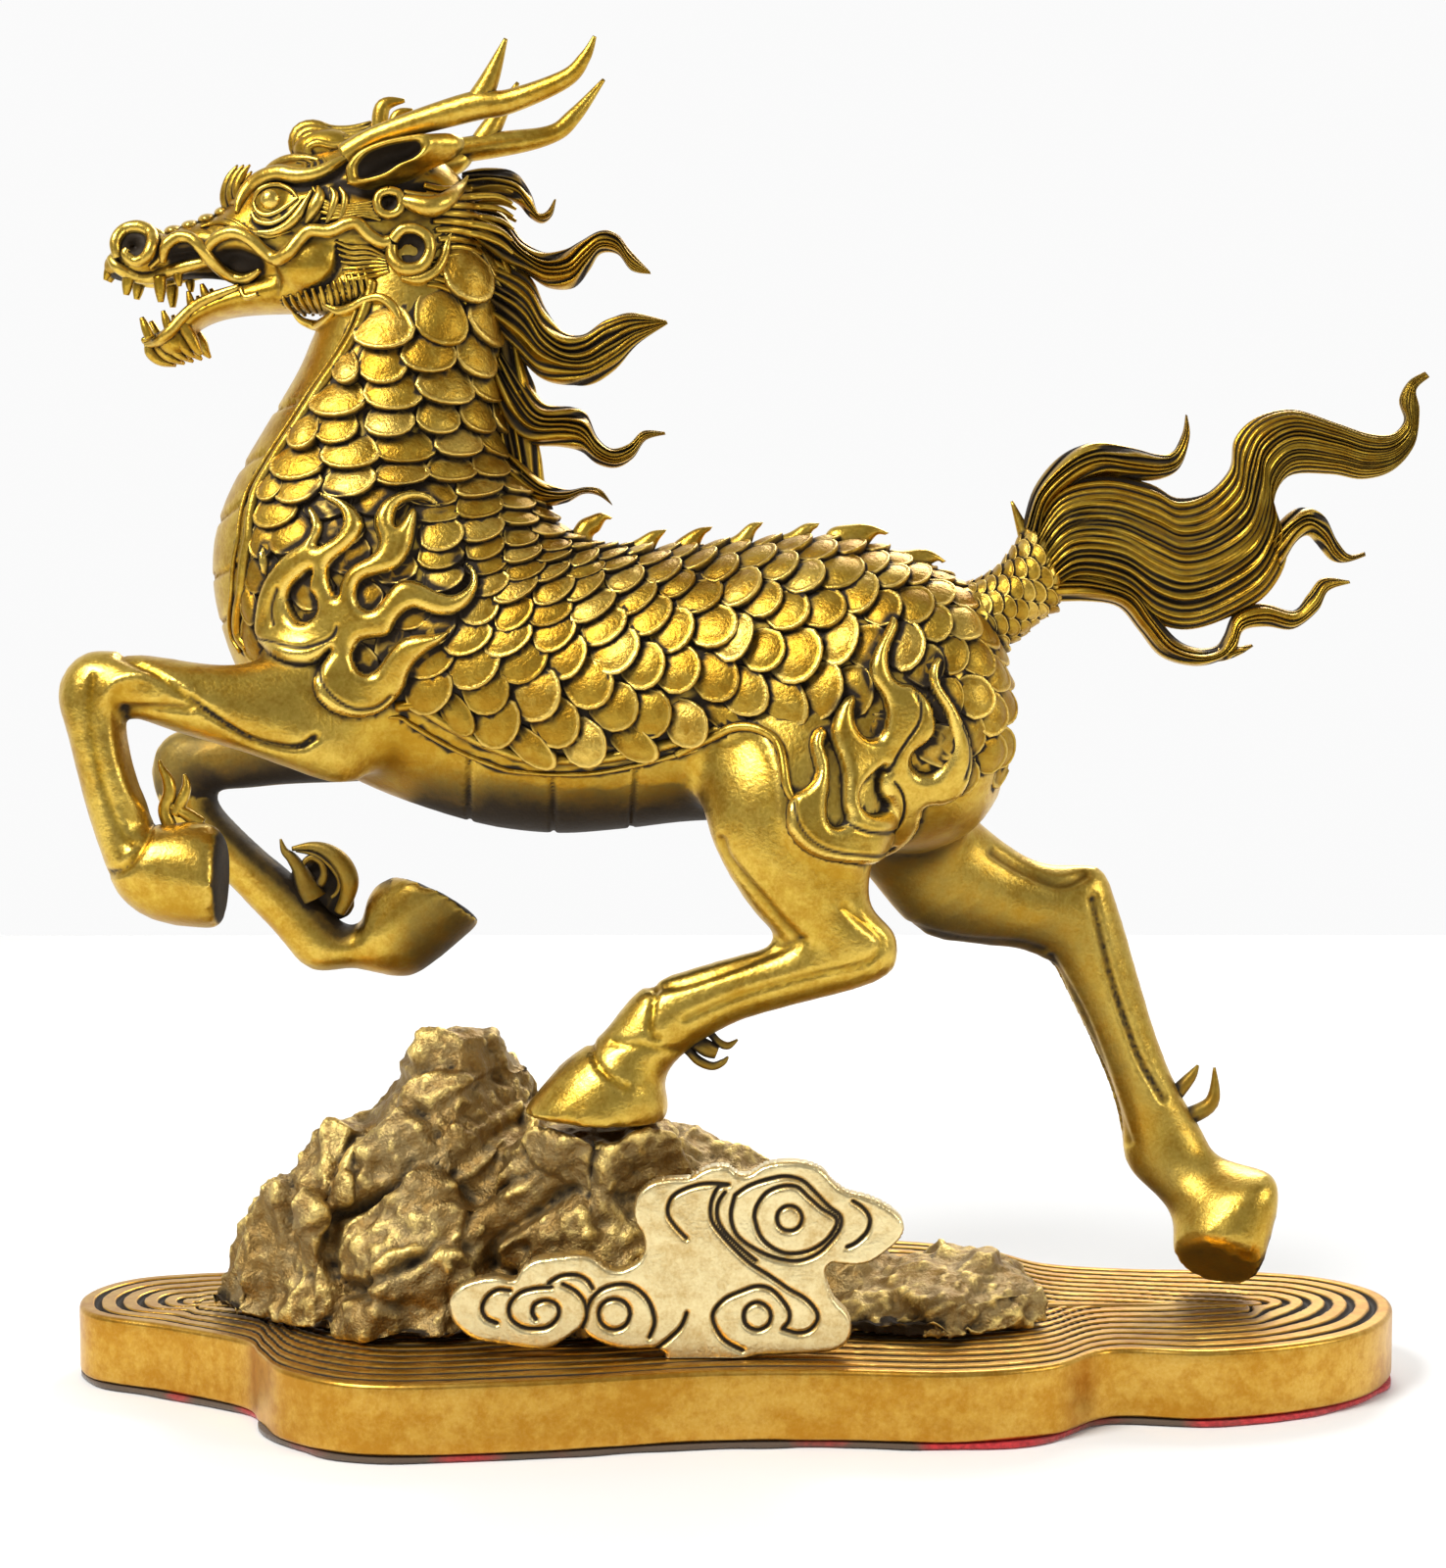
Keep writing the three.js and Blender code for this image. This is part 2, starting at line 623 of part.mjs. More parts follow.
// The base plate's outline in plan: a long lobed shape like a pool, with a notch between its lobes.
const PLATE_OUTLINE = [
  [-134, 4], [-129, -8], [-112, -17], [-95, -28], [-90, -38], [-83, -50], [-66, -59], [-35, -56.5],
  [-5, -50.5], [20, -49.5], [44, -51], [63, -46], [76, -34.5], [95, -36], [115, -30], [130, -19],
  [138, -3], [137.5, 12], [127, 24], [108, 29.5], [88, 31], [70, 36], [58, 49], [35, 58], [0, 58.5],
  [-40, 56], [-75, 50], [-92, 36], [-101, 29], [-113, 27], [-125, 23], [-132, 15],
];
const OUTLINE_POINTS = 40;

function plateOutline() {
  const corners = PLATE_OUTLINE.map(([x, y]) => new THREE.Vector3(x, y, 0));
  return new THREE.CatmullRomCurve3(corners, true).getSpacedPoints(OUTLINE_POINTS).slice(0, -1);
}

// The outline moved in towards the plate's middle line, less where a lobe is narrow.
function inset(outline, distance, z) {
  const deepest = RIPPLES * RIPPLE_PITCH + 2;
  return outline.map((p) => {
    const middle = new THREE.Vector3(THREE.MathUtils.clamp(p.x, -LOBE_REACH, LOBE_REACH), 0, 0);
    const toMiddle = middle.sub(p);
    const room = toMiddle.length() - 2;
    const step = distance * Math.min(1, room / deepest);
    const moved = p.clone().addScaledVector(toMiddle.normalize(), step);
    return moved.setZ(z);
  });
}

// A closed stack of outlines with flat triangulated ends.
function stack(rings) {
  const sides = rings[0].length;
  const points = rings.flat().flatMap((p) => [p.x, p.y, p.z]);
  const triangles = [];
  for (let i = 0; i + 1 < rings.length; i += 1) {
    for (let j = 0; j < sides; j += 1) {
      const a = i * sides + j;
      const b = i * sides + ((j + 1) % sides);
      triangles.push(a, b, b + sides, a, b + sides, a + sides);
    }
  }
  for (const end of [0, rings.length - 1]) {
    const flat = rings[end].map((p) => new THREE.Vector2(p.x, p.y));
    for (const [a, b, c] of THREE.ShapeUtils.triangulateShape(flat, [])) {
      const corners = [a, b, c].map((k) => k + end * sides);
      triangles.push(...(end === 0 ? corners.reverse() : corners));
    }
  }
  return closedGeometry(points, triangles);
}

function basePlate() {
  const outline = plateOutline();
  const rings = [
    inset(outline, PLATE_EDGE, FELT_THICK + GAP),
    inset(outline, 0, FELT_THICK + GAP + PLATE_EDGE),
    inset(outline, 0, PLATE_TOP - PLATE_EDGE),
    inset(outline, PLATE_EDGE, PLATE_TOP),
  ];
  for (let k = 0; k < RIPPLES; k += 1) {
    const groove = PLATE_EDGE + (k + 0.6) * RIPPLE_PITCH;
    rings.push(inset(outline, groove, PLATE_TOP - RIPPLE_DEPTH));
    rings.push(inset(outline, PLATE_EDGE + (k + 1) * RIPPLE_PITCH, PLATE_TOP));
  }
  return stack(rings);
}

function feltPad() {
  const outline = plateOutline();
  return stack([inset(outline, 0, 0), inset(outline, 0, FELT_THICK)]);
}

// The rock is heaped from slanting crags. Each is [foot x, foot y, half length, half width] at the
// plate, and [x, y, z, half length, half width] of its top.
const CRAGS = [
  [-92, -3, 14.5, 13, -90, -3, 43.5, 4.5, 6],
  [-80, -8, 18, 20, -74.5, -4, 55, 7, 8],
  [-62, -4, 28, 28, -54, 2, 72.5, 8, 10],
  [-48, 4, 24, 26, -46, 4, 66, 8, 9],
  [-26, -10, 34, 23.5, -25, -19, 56.5, 17, 12.5],
  [2, 6, 32, 24, -12, 8, 52.5, 6, 8],
  [16, 4, 30, 24, 4, 4, 42, 6, 10],
  [42, -8, 31, 27, 48, -4, 27.5, 8, 12],
  [-62, -25, 17, 10, -54, -21, 42, 9, 5],
  [-46, 24, 32, 20, -46, 18, 50, 16, 9],
  [8, 26, 34, 17, 4, 20, 36, 16, 8],
];
const CRAG_SIDES = 6;

// One crag: a leaning block with uneven corners, broken once between its foot and its top.
function crag([footX, footY, footLong, footWide, topX, topY, topZ, topLong, topWide], number) {
  const ring = (share, z) => {
    const points = [];
    for (let j = 0; j < CRAG_SIDES; j += 1) {
      const angle = (2 * Math.PI * (j + 0.37 * number)) / CRAG_SIDES;
      const rough = 1 + 0.12 * Math.sin(5 * j + 3 * number + 7 * share);
      const long = THREE.MathUtils.lerp(footLong, topLong, share) * rough;
      const wide = THREE.MathUtils.lerp(footWide, topWide, share) * rough;
      points.push(
        new THREE.Vector3(
          THREE.MathUtils.lerp(footX, topX, share) + Math.cos(angle) * long,
          THREE.MathUtils.lerp(footY, topY, share) + Math.sin(angle) * wide,
          z,
        ),
      );
    }
    return points;
  };
  const height = topZ - PLATE_FOOT;
  return skin([ring(0, PLATE_FOOT), ring(0.4, PLATE_FOOT + height * 0.66), ring(1, topZ)]);
}

function rockMound() {
  return joined(CRAGS.map(crag));
}

// The cloud in front view: [x, z] round its lobes, from the left tip.
const CLOUD_OUTLINE = [
  [-53, 25.5], [-52, 29], [-48.5, 31], [-41.5, 30.5], [-38.5, 34], [-33.5, 35.3], [-26.5, 35.5],
  [-21.5, 32.5], [-18, 32.7], [-15, 37], [-17, 42], [-15.5, 47], [-11, 50], [-6, 51], [-2, 52.5],
  [4, 51.3], [8, 53], [12, 53.6], [17, 52], [21, 49], [25, 47.3], [31, 45.5], [34.5, 41], [33, 37.5],
  [27.5, 34], [20.5, 33], [20, 30], [22.5, 25.5], [24.5, 22], [23.5, 18.5], [19.5, PLATE_FOOT],
  [-50.5, PLATE_FOOT], [-51.5, 20],
];
// Its scrolls, raised a little: [x, z, outer radius].
const SCROLLS = [
  [12.8, 42.8, 7.2],
  [-20.8, 24.2, 6],
  [-34.3, 24.8, 6.6],
  [7, 23.4, 6.6],
  [-7, 44, 4.6],
];
const SCROLL_RISE = 0.9;

function cloudPlaque() {
  const shape = new THREE.Shape(CLOUD_OUTLINE.map(([x, z]) => new THREE.Vector2(x, z)));
  const plate = new THREE.ExtrudeGeometry(shape, { depth: CLOUD_THICK, bevelEnabled: false });
  plate.rotateX(Math.PI / 2).translate(0, CLOUD_BACK, 0);
  const discs = SCROLLS.map(([x, z, radius]) => {
    const disc = new THREE.CylinderGeometry(radius * 0.86, radius, 2 * SCROLL_RISE, 10);
    return disc.rotateX(Math.PI).translate(x, 0, 0).translate(0, CLOUD_BACK - CLOUD_THICK, z);
  });
  const eyes = SCROLLS.slice(0, 4).map(([x, z, radius]) => {
    const eye = new THREE.ConeGeometry(radius * 0.36, SCROLL_RISE * 1.6, 6);
    return eye.translate(x, CLOUD_BACK - CLOUD_THICK - SCROLL_RISE, z);
  });
  const raised = discs.reduce((whole, disc) => whole.add(toSolid(disc)), toSolid(plate));
  return eyes.reduce((whole, eye) => whole.subtract(toSolid(eye)), raised);
}

const statue = new THREE.Group();
statue.add(toMesh(dragonHorse(), "dragon_horse", finish(0xb08a3c, 0.35, 1)));
statue.add(toMesh(rockMound(), "rock_mound", finish(0x8a7348, 0.6, 1)));
statue.add(toMesh(cloudPlaque(), "cloud_plaque", finish(0xdcc88a, 0.3, 1)));
statue.add(toMesh(toSolid(basePlate()), "base_plate", finish(0xa8792a, 0.3, 1)));
statue.add(toMesh(toSolid(feltPad()), "felt_pad", finish(0xb01c24, 0.95, 0)));

export default statue;
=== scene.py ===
import math

import bpy
import numpy as np
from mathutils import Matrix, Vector, noise
from mathutils.bvhtree import BVHTree
from mathutils.geometry import tessellate_polygon


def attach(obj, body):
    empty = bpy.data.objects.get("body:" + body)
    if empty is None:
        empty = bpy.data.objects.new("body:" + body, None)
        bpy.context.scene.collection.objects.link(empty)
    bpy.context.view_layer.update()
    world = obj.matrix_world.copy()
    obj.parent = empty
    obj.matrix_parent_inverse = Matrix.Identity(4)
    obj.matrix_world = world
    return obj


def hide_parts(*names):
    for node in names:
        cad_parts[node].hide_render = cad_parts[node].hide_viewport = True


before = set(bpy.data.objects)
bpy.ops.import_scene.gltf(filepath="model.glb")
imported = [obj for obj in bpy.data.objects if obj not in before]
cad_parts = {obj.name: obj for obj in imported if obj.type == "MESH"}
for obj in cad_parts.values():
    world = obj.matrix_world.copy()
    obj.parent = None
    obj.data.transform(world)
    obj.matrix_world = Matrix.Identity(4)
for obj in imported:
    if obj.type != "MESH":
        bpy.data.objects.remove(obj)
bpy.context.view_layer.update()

# Camera. It looks along +Y from a little above the horse's back, slightly downwards, from 0.6 m.
camera_data = bpy.data.cameras.new("camera")
camera_data.lens = 67.7
camera_data.sensor_width = 36
camera = bpy.data.objects.new("camera", camera_data)
camera.location = (0, -0.6, 0.171)
camera.rotation_euler = (math.radians(90 - 4.57), 0, 0)
bpy.context.scene.collection.objects.link(camera)
bpy.context.scene.camera = camera

# Studio. A pale table top, a room that is white behind the statue and dim in front of it, and three
# large soft lamps: the main one high at the left front, a weaker one at the right, one behind.
FLOOR_SIZE = 1.4
FLOOR_GAP = 0.0003
LAMPS_AIM = (0, 0, 0.14)


class Wire:
    """A value in a material. Sums and products of such values add Math nodes."""

    def __init__(self, tree, socket=None):
        self.tree = tree
        self.socket = socket

    def feed(self, made, sockets):
        for key, value in sockets.items():
            if isinstance(value, Wire):
                self.tree.links.new(value.socket, made.inputs[key])
            else:
                made.inputs[key].default_value = value

    def node(self, kind, settings, sockets, output=0):
        made = self.tree.nodes.new("ShaderNode" + kind)
        for key, value in settings.items():
            setattr(made, key, value)
        self.feed(made, sockets)
        return Wire(self.tree, made.outputs[output])

    def math(self, operation, a, b):
        return self.node("Math", {"operation": operation}, {0: a, 1: b})

    def __add__(self, other):
        return self.math("ADD", self, other)

    def __radd__(self, other):
        return self.math("ADD", other, self)

    def __sub__(self, other):
        return self.math("SUBTRACT", self, other)

    def __rsub__(self, other):
        return self.math("SUBTRACT", other, self)

    def __mul__(self, other):
        return self.math("MULTIPLY", self, other)

    def __rmul__(self, other):
        return self.math("MULTIPLY", other, self)

    def between(self, low, high):
        """0 where the value is at low, 1 where it is at high, with soft ends."""
        settings = {"interpolation_type": "SMOOTHSTEP"}
        return self.node("MapRange", settings, {"Value": self, "From Min": low, "From Max": high})

    def colour(self, none, full):
        """The colour none where the value is 0, and full where it is 1."""
        return self.node("Mix", {"data_type": "RGBA"}, {0: self, 6: none, 7: full}, 2)


def new_material(name):
    material = bpy.data.materials.new(name)
    material.use_nodes = True
    return material, Wire(material.node_tree), material.node_tree.nodes["Principled BSDF"]


bpy.ops.mesh.primitive_plane_add(size=FLOOR_SIZE, location=(0, 0, -FLOOR_GAP))
floor = bpy.context.object
floor.name = "floor"
floor_paint, wire, surface = new_material("floor")
wire.feed(surface, {"Base Color": (.86, .86, .85, 1), "Roughness": 0.7})
floor.data.materials.append(floor_paint)

room = bpy.data.worlds.new("room")
room.use_nodes = True
wire = Wire(room.node_tree)
sight = wire.node("TexCoord", {}, {}, "Generated")
ahead = wire.node("SeparateXYZ", {}, {0: sight}, "Y").between(-0.3, 0.6)
overhead = wire.node("SeparateXYZ", {}, {0: sight}, "Z").between(0.3, 0.9)
glow = 0.3 + ahead * 0.66 * (1 - overhead * 0.5)
wire.feed(room.node_tree.nodes["Background"], {"Color": glow.colour((0, 0, 0, 1), (1, 1, 1, 1))})
bpy.context.scene.world = room
bpy.context.scene.view_settings.view_transform = "Standard"


def soft_lamp(name, place, size, power):
    lamp = bpy.data.lights.new(name, "AREA")
    lamp.shape = "DISK"
    lamp.size = size
    lamp.energy = power
    holder = bpy.data.objects.new(name, lamp)
    holder.location = place
    towards = Vector(LAMPS_AIM) - Vector(place)
    holder.rotation_euler = towards.to_track_quat("-Z", "Y").to_euler()
    bpy.context.scene.collection.objects.link(holder)


soft_lamp("main_lamp", (-0.6, -0.6, 0.95), 0.5, 15)
soft_lamp("side_lamp", (0.95, -0.45, 0.55), 0.4, 3)
soft_lamp("back_lamp", (0.25, 0.8, 0.8), 0.5, 6)

# Felt pad. A sheet of red felt, glued under the base plate to spare the table. Its cut edge is a
# little uneven, so that red shows here and there below the rim, and elsewhere the felt is painted
# dark as shadow and dust.
MM = 0.001
FELT_LEVELS = (0, 0.3, 0.6, 0.9)
FELT_POINTS = 300
FELT_UNEVEN = 1.7
FELT_CUT_BACK = 0.35
FELT_LEAST = -0.8
PLATE_OUTLINE = [
    [-134, 4], [-129, -8], [-112, -17], [-95, -28], [-90, -38], [-83, -50], [-66, -59], [-35, -56.5],
    [-5, -50.5], [20, -49.5], [44, -51], [63, -46], [76, -34.5], [95, -36], [115, -30], [130, -19],
    [138, -3], [137.5, 12], [127, 24], [108, 29.5], [88, 31], [70, 36], [58, 49], [35, 58], [0, 58.5],
    [-40, 56], [-75, 50], [-92, 36], [-101, 29], [-113, 27], [-125, 23], [-132, 15],
]


def smooth_rows(rows, steps, closed=False):
    """Smooth rows between the given ones: every row is a list of numbers."""
    rows = np.array(rows, float)
    count = len(rows)
    share = np.arange(steps)[:, None] / steps
    out = []
    for i in range(count if closed else count - 1):
        near = [i + k for k in (-1, 0, 1, 2)]
        a, b, c, d = (rows[k % count if closed else min(max(k, 0), count - 1)] for k in near)
        turn = 2 * a - 5 * b + 4 * c - d + share * (3 * b - a - 3 * c + d)
        out.append(b + 0.5 * share * (c - a + share * turn))
    if not closed:
        out.append(rows[-1:])
    return np.concatenate(out)


def evenly(line, count, closed=False):
    """The same line with points at equal distances."""
    ring = np.vstack([line, line[:1]]) if closed else line
    run = np.concatenate([[0], np.cumsum(np.linalg.norm(np.diff(ring, axis=0), axis=1))])
    at = np.linspace(0, run[-1], count + closed)[: count]
    return np.stack([np.interp(at, run, ring[:, k]) for k in range(ring.shape[1])], 1)


def band(count, sides):
    """The triangles between rings of points that lie one after another."""
    i, j = np.meshgrid(np.arange(count - 1), np.arange(sides), indexing="ij")
    a = (i * sides + j).ravel()
    b = (i * sides + (j + 1) % sides).ravel()
    return np.vstack([np.stack([a, b, b + sides], 1), np.stack([a, b + sides, a + sides], 1)])


def outward(points, triangles):
    """The closed shell with its faces turned out."""
    a, b, c = (points[triangles[:, k]] for k in range(3))
    volume = np.einsum("ij,ij->", a, np.cross(b, c))
    return points, triangles if volume > 0 else triangles[:, ::-1]


def stack(rings):
    """A closed shell over rings of points, with flat ends of any outline."""
    count, sides = rings.shape[:2]
    faces = [band(count, sides)]
    rising = rings[-1, :, 2].mean() > rings[0, :, 2].mean()
    x, y = rings[0, :, 0], rings[0, :, 1]
    turning = np.sum(x * np.roll(y, -1) - y * np.roll(x, -1)) > 0
    for end in (0, count - 1):
        cap = np.array(tessellate_polygon([[Vector(p) for p in rings[end]]]))
        a, b, c = (rings[end][cap[:, k]] for k in range(3))
        up = np.cross(b - a, c - a)[:, 2] > 0
        wants_up = (end > 0) == (rising == turning)
        cap[up != wants_up] = cap[up != wants_up][:, ::-1]
        faces.append(cap + end * sides)
    return outward(rings.reshape(-1, 3), np.vstack(faces))


def new_piece(name, points, triangles, material, slot, node, marks):
    """A piece of the statue in millimetres, with one number a point for each of its marks."""
    mesh = bpy.data.meshes.new(name)
    mesh.from_pydata((points * MM).tolist(), [], triangles.tolist())
    mesh.shade_smooth()
    for mark, values in marks.items():
        layer = mesh.attributes.new(mark, "FLOAT", "POINT")
        layer.data.foreach_set("value", np.broadcast_to(values, len(points)).astype(np.float32))
    piece = bpy.data.objects.new(name, mesh)
    bpy.context.scene.collection.objects.link(piece)
    mesh.materials.append(material)
    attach(piece, "root")
    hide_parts(node)


felt_red, wire, surface = new_material("red_felt")
place = wire.node("TexCoord", {}, {}, "Object")
fluff = wire.node("TexNoise", {}, {"Vector": place, "Scale": 900, "Detail": 3}, "Fac")
# Painted shadow and dust: where this noise is low, the felt is dark brown as the shade under the rim.
shadow_and_dust = wire.node("TexNoise", {}, {"Vector": place, "Scale": 26, "Detail": 2}, "Fac")
red = fluff.between(0.3, 0.7).colour((.33, .008, .012, 1), (.62, .03, .035, 1))
wire.feed(surface, {
    "Base Color": shadow_and_dust.between(0.50, 0.58).colour((.10, .065, .04, 1), red),
    "Roughness": 0.95,
    "Sheen Weight": 0.4,
    "Normal": wire.node("Bump", {}, {"Height": fluff, "Strength": 0.5, "Distance": 0.0004}),
})

plate_outline = evenly(smooth_rows(PLATE_OUTLINE, 12, closed=True), FELT_POINTS, closed=True)
ragged = np.array([noise.noise((x * 0.09, y * 0.09, 4.2)) for x, y in plate_outline])
outwards = plate_outline / np.linalg.norm(plate_outline, axis=1)[:, None]
felt_reach = np.maximum(ragged * FELT_UNEVEN - FELT_CUT_BACK, FELT_LEAST)
felt_edge = plate_outline + outwards * felt_reach[:, None]
felt_rings = np.array([np.column_stack([felt_edge, np.full(FELT_POINTS, z)]) for z in FELT_LEVELS])
new_piece("felt_pad_red", *stack(felt_rings), felt_red, "red_felt", "felt_pad", {})

# Base plate. A cast brass plate shaped like a pool of water, satin all round its rim, with ripples
# cut in its top that follow the outline. The rock and the far hind hoof are fixed on it.
PLATE_LOW = 1.2
PLATE_TOP = 15
PLATE_EDGE = 1
EDGE_STEPS = 5
LOBE_REACH = 108
RIPPLE_PITCH = 4.3
RIPPLE_DEPTH = 1.2
RIPPLE_FIRST = 1.6
RIPPLE_WANDER = 6
RIPPLE_STEPS = 110
SMOOTH_BORDER = 2.2
BORDER_FADE = 1.5


def brass(name, dark, gold, pale, rough, pits=0.25, mottled=0.4):
    """Cast brass: patina and painted shade in the hollows, rubbed bright on the high spots."""
    material, wire, surface = new_material(name)
    place = wire.node("TexCoord", {}, {}, "Object")
    hollow = wire.node("Attribute", {"attribute_name": "hollow"}, {}, "Fac")
    edge = wire.node("Attribute", {"attribute_name": "edge"}, {}, "Fac")
    tone = wire.node("Attribute", {"attribute_name": "tone"}, {}, "Fac")
    clouds = wire.node("TexNoise", {}, {"Vector": place, "Scale": 70, "Detail": 5}, "Fac")
    mottle = wire.node("TexNoise", {}, {"Vector": place, "Scale": 380, "Detail": 6, "Roughness": 0.65}, "Fac")
    grain = wire.node("TexNoise", {}, {"Vector": place, "Scale": 1500, "Detail": 4}, "Fac")
    # Patina and painted shade: the hollow mark, with noise, darkens the colour towards dark.
    patina_and_shade = (hollow + (clouds - 0.5) * 0.5 + (mottle - 0.5) * mottled).between(0.1, 0.8)
    # Polish on the high spots, lowered by the tone mark where pieces paint shade on undersides and far sides.
    polish_and_shade = edge + (grain - 0.5) * 0.5 + (clouds - 0.5) * 0.6 + (mottle - 0.5) * 1.4 * mottled + tone
    shine = polish_and_shade.between(0.05, 1.0)
    brown = tuple(part * share for part, share in zip(gold, (0.82, 0.70, 0.5, 1)))
    body = (mottle * 0.6 + clouds * 0.4).between(0.4, 0.6).colour(brown, gold)
    wire.feed(surface, {
        "Base Color": patina_and_shade.colour(shine.colour(body, pale), dark),
        "Metallic": 1 - patina_and_shade * 0.55,
        "Roughness": rough + patina_and_shade * 0.35 - shine * 0.07 + (grain - 0.5) * 0.14,
        "Normal": wire.node("Bump", {}, {
            "Height": grain + clouds * 2 + mottle, "Strength": pits, "Distance": 0.0003}),
    })
    return material


plate_brass = brass("plate_brass", (.02, .012, .004, 1), (.60, .33, .045, 1), (.85, .60, .18, 1),
                    rough=0.34, pits=0.15, mottled=0.2)

middle = np.column_stack([np.clip(plate_outline[:, 0], -LOBE_REACH, LOBE_REACH),
                          np.zeros(FELT_POINTS)])
room_inside = np.linalg.norm(middle - plate_outline, axis=1)
inwards = (middle - plate_outline) / room_inside[:, None]


def plate_ring(distance, z):
    return np.column_stack([plate_outline + inwards * np.reshape(distance, (-1, 1)),
                            np.broadcast_to(z, FELT_POINTS)])


corner = np.linspace(0, math.pi / 2, EDGE_STEPS)
plate_rings = [plate_ring(PLATE_EDGE * (1 - math.sin(a)), PLATE_LOW + PLATE_EDGE * (1 - math.cos(a)))
               for a in corner]
plate_rings += [plate_ring(0, z)
                for z in np.linspace(PLATE_LOW + PLATE_EDGE, PLATE_TOP - PLATE_EDGE, 6)[1:-1]]
plate_rings += [plate_ring(PLATE_EDGE * (1 - math.cos(a)), PLATE_TOP - PLATE_EDGE * (1 - math.sin(a)))
                for a in corner]
plate_hollow = [np.zeros(FELT_POINTS)] * len(plate_rings)
wander = np.array([noise.noise((x * 0.03, y * 0.03, 7.7)) for x, y in plate_outline])
for share in np.linspace(0, 0.96, RIPPLE_STEPS)[1:]:
    distance = PLATE_EDGE + share * (room_inside - PLATE_EDGE)
    run = distance + wander * share * RIPPLE_WANDER - PLATE_EDGE - RIPPLE_FIRST
    wave = np.sin(run / RIPPLE_PITCH * 2 * math.pi)
    from_rim = np.clip((distance - SMOOTH_BORDER) / BORDER_FADE, 0, 1)
    groove = np.clip(-0.35 + wave, 0, 1) ** 0.5 * from_rim
    plate_rings.append(plate_ring(distance, PLATE_TOP - RIPPLE_DEPTH * groove))
    plate_hollow.append(groove)
plate_points, plate_faces = stack(np.array(plate_rings))
new_piece("base_plate_brass", plate_points, plate_faces, plate_brass, "plate_brass", "base_plate",
          {"hollow": np.concatenate(plate_hollow) * 2.4, "edge": 0.2, "tone": 0})

# Rock. A brass casting heaped from slanting crags, rough from the mould and left dull, with its
# ridges rubbed to gold. It is fixed on the plate, and it carries the near hind leg.
PLATE_FOOT = 15.3
CRAG_SIDES = 6
ROCK_VOXEL = 0.8
ROCK_FACES = 96000
# The rock stays behind the cloud, which stands at its front.
ROCK_FRONT = -37.2
SLAB_EDGE = 1.1
SLAB_STEP = 1.35
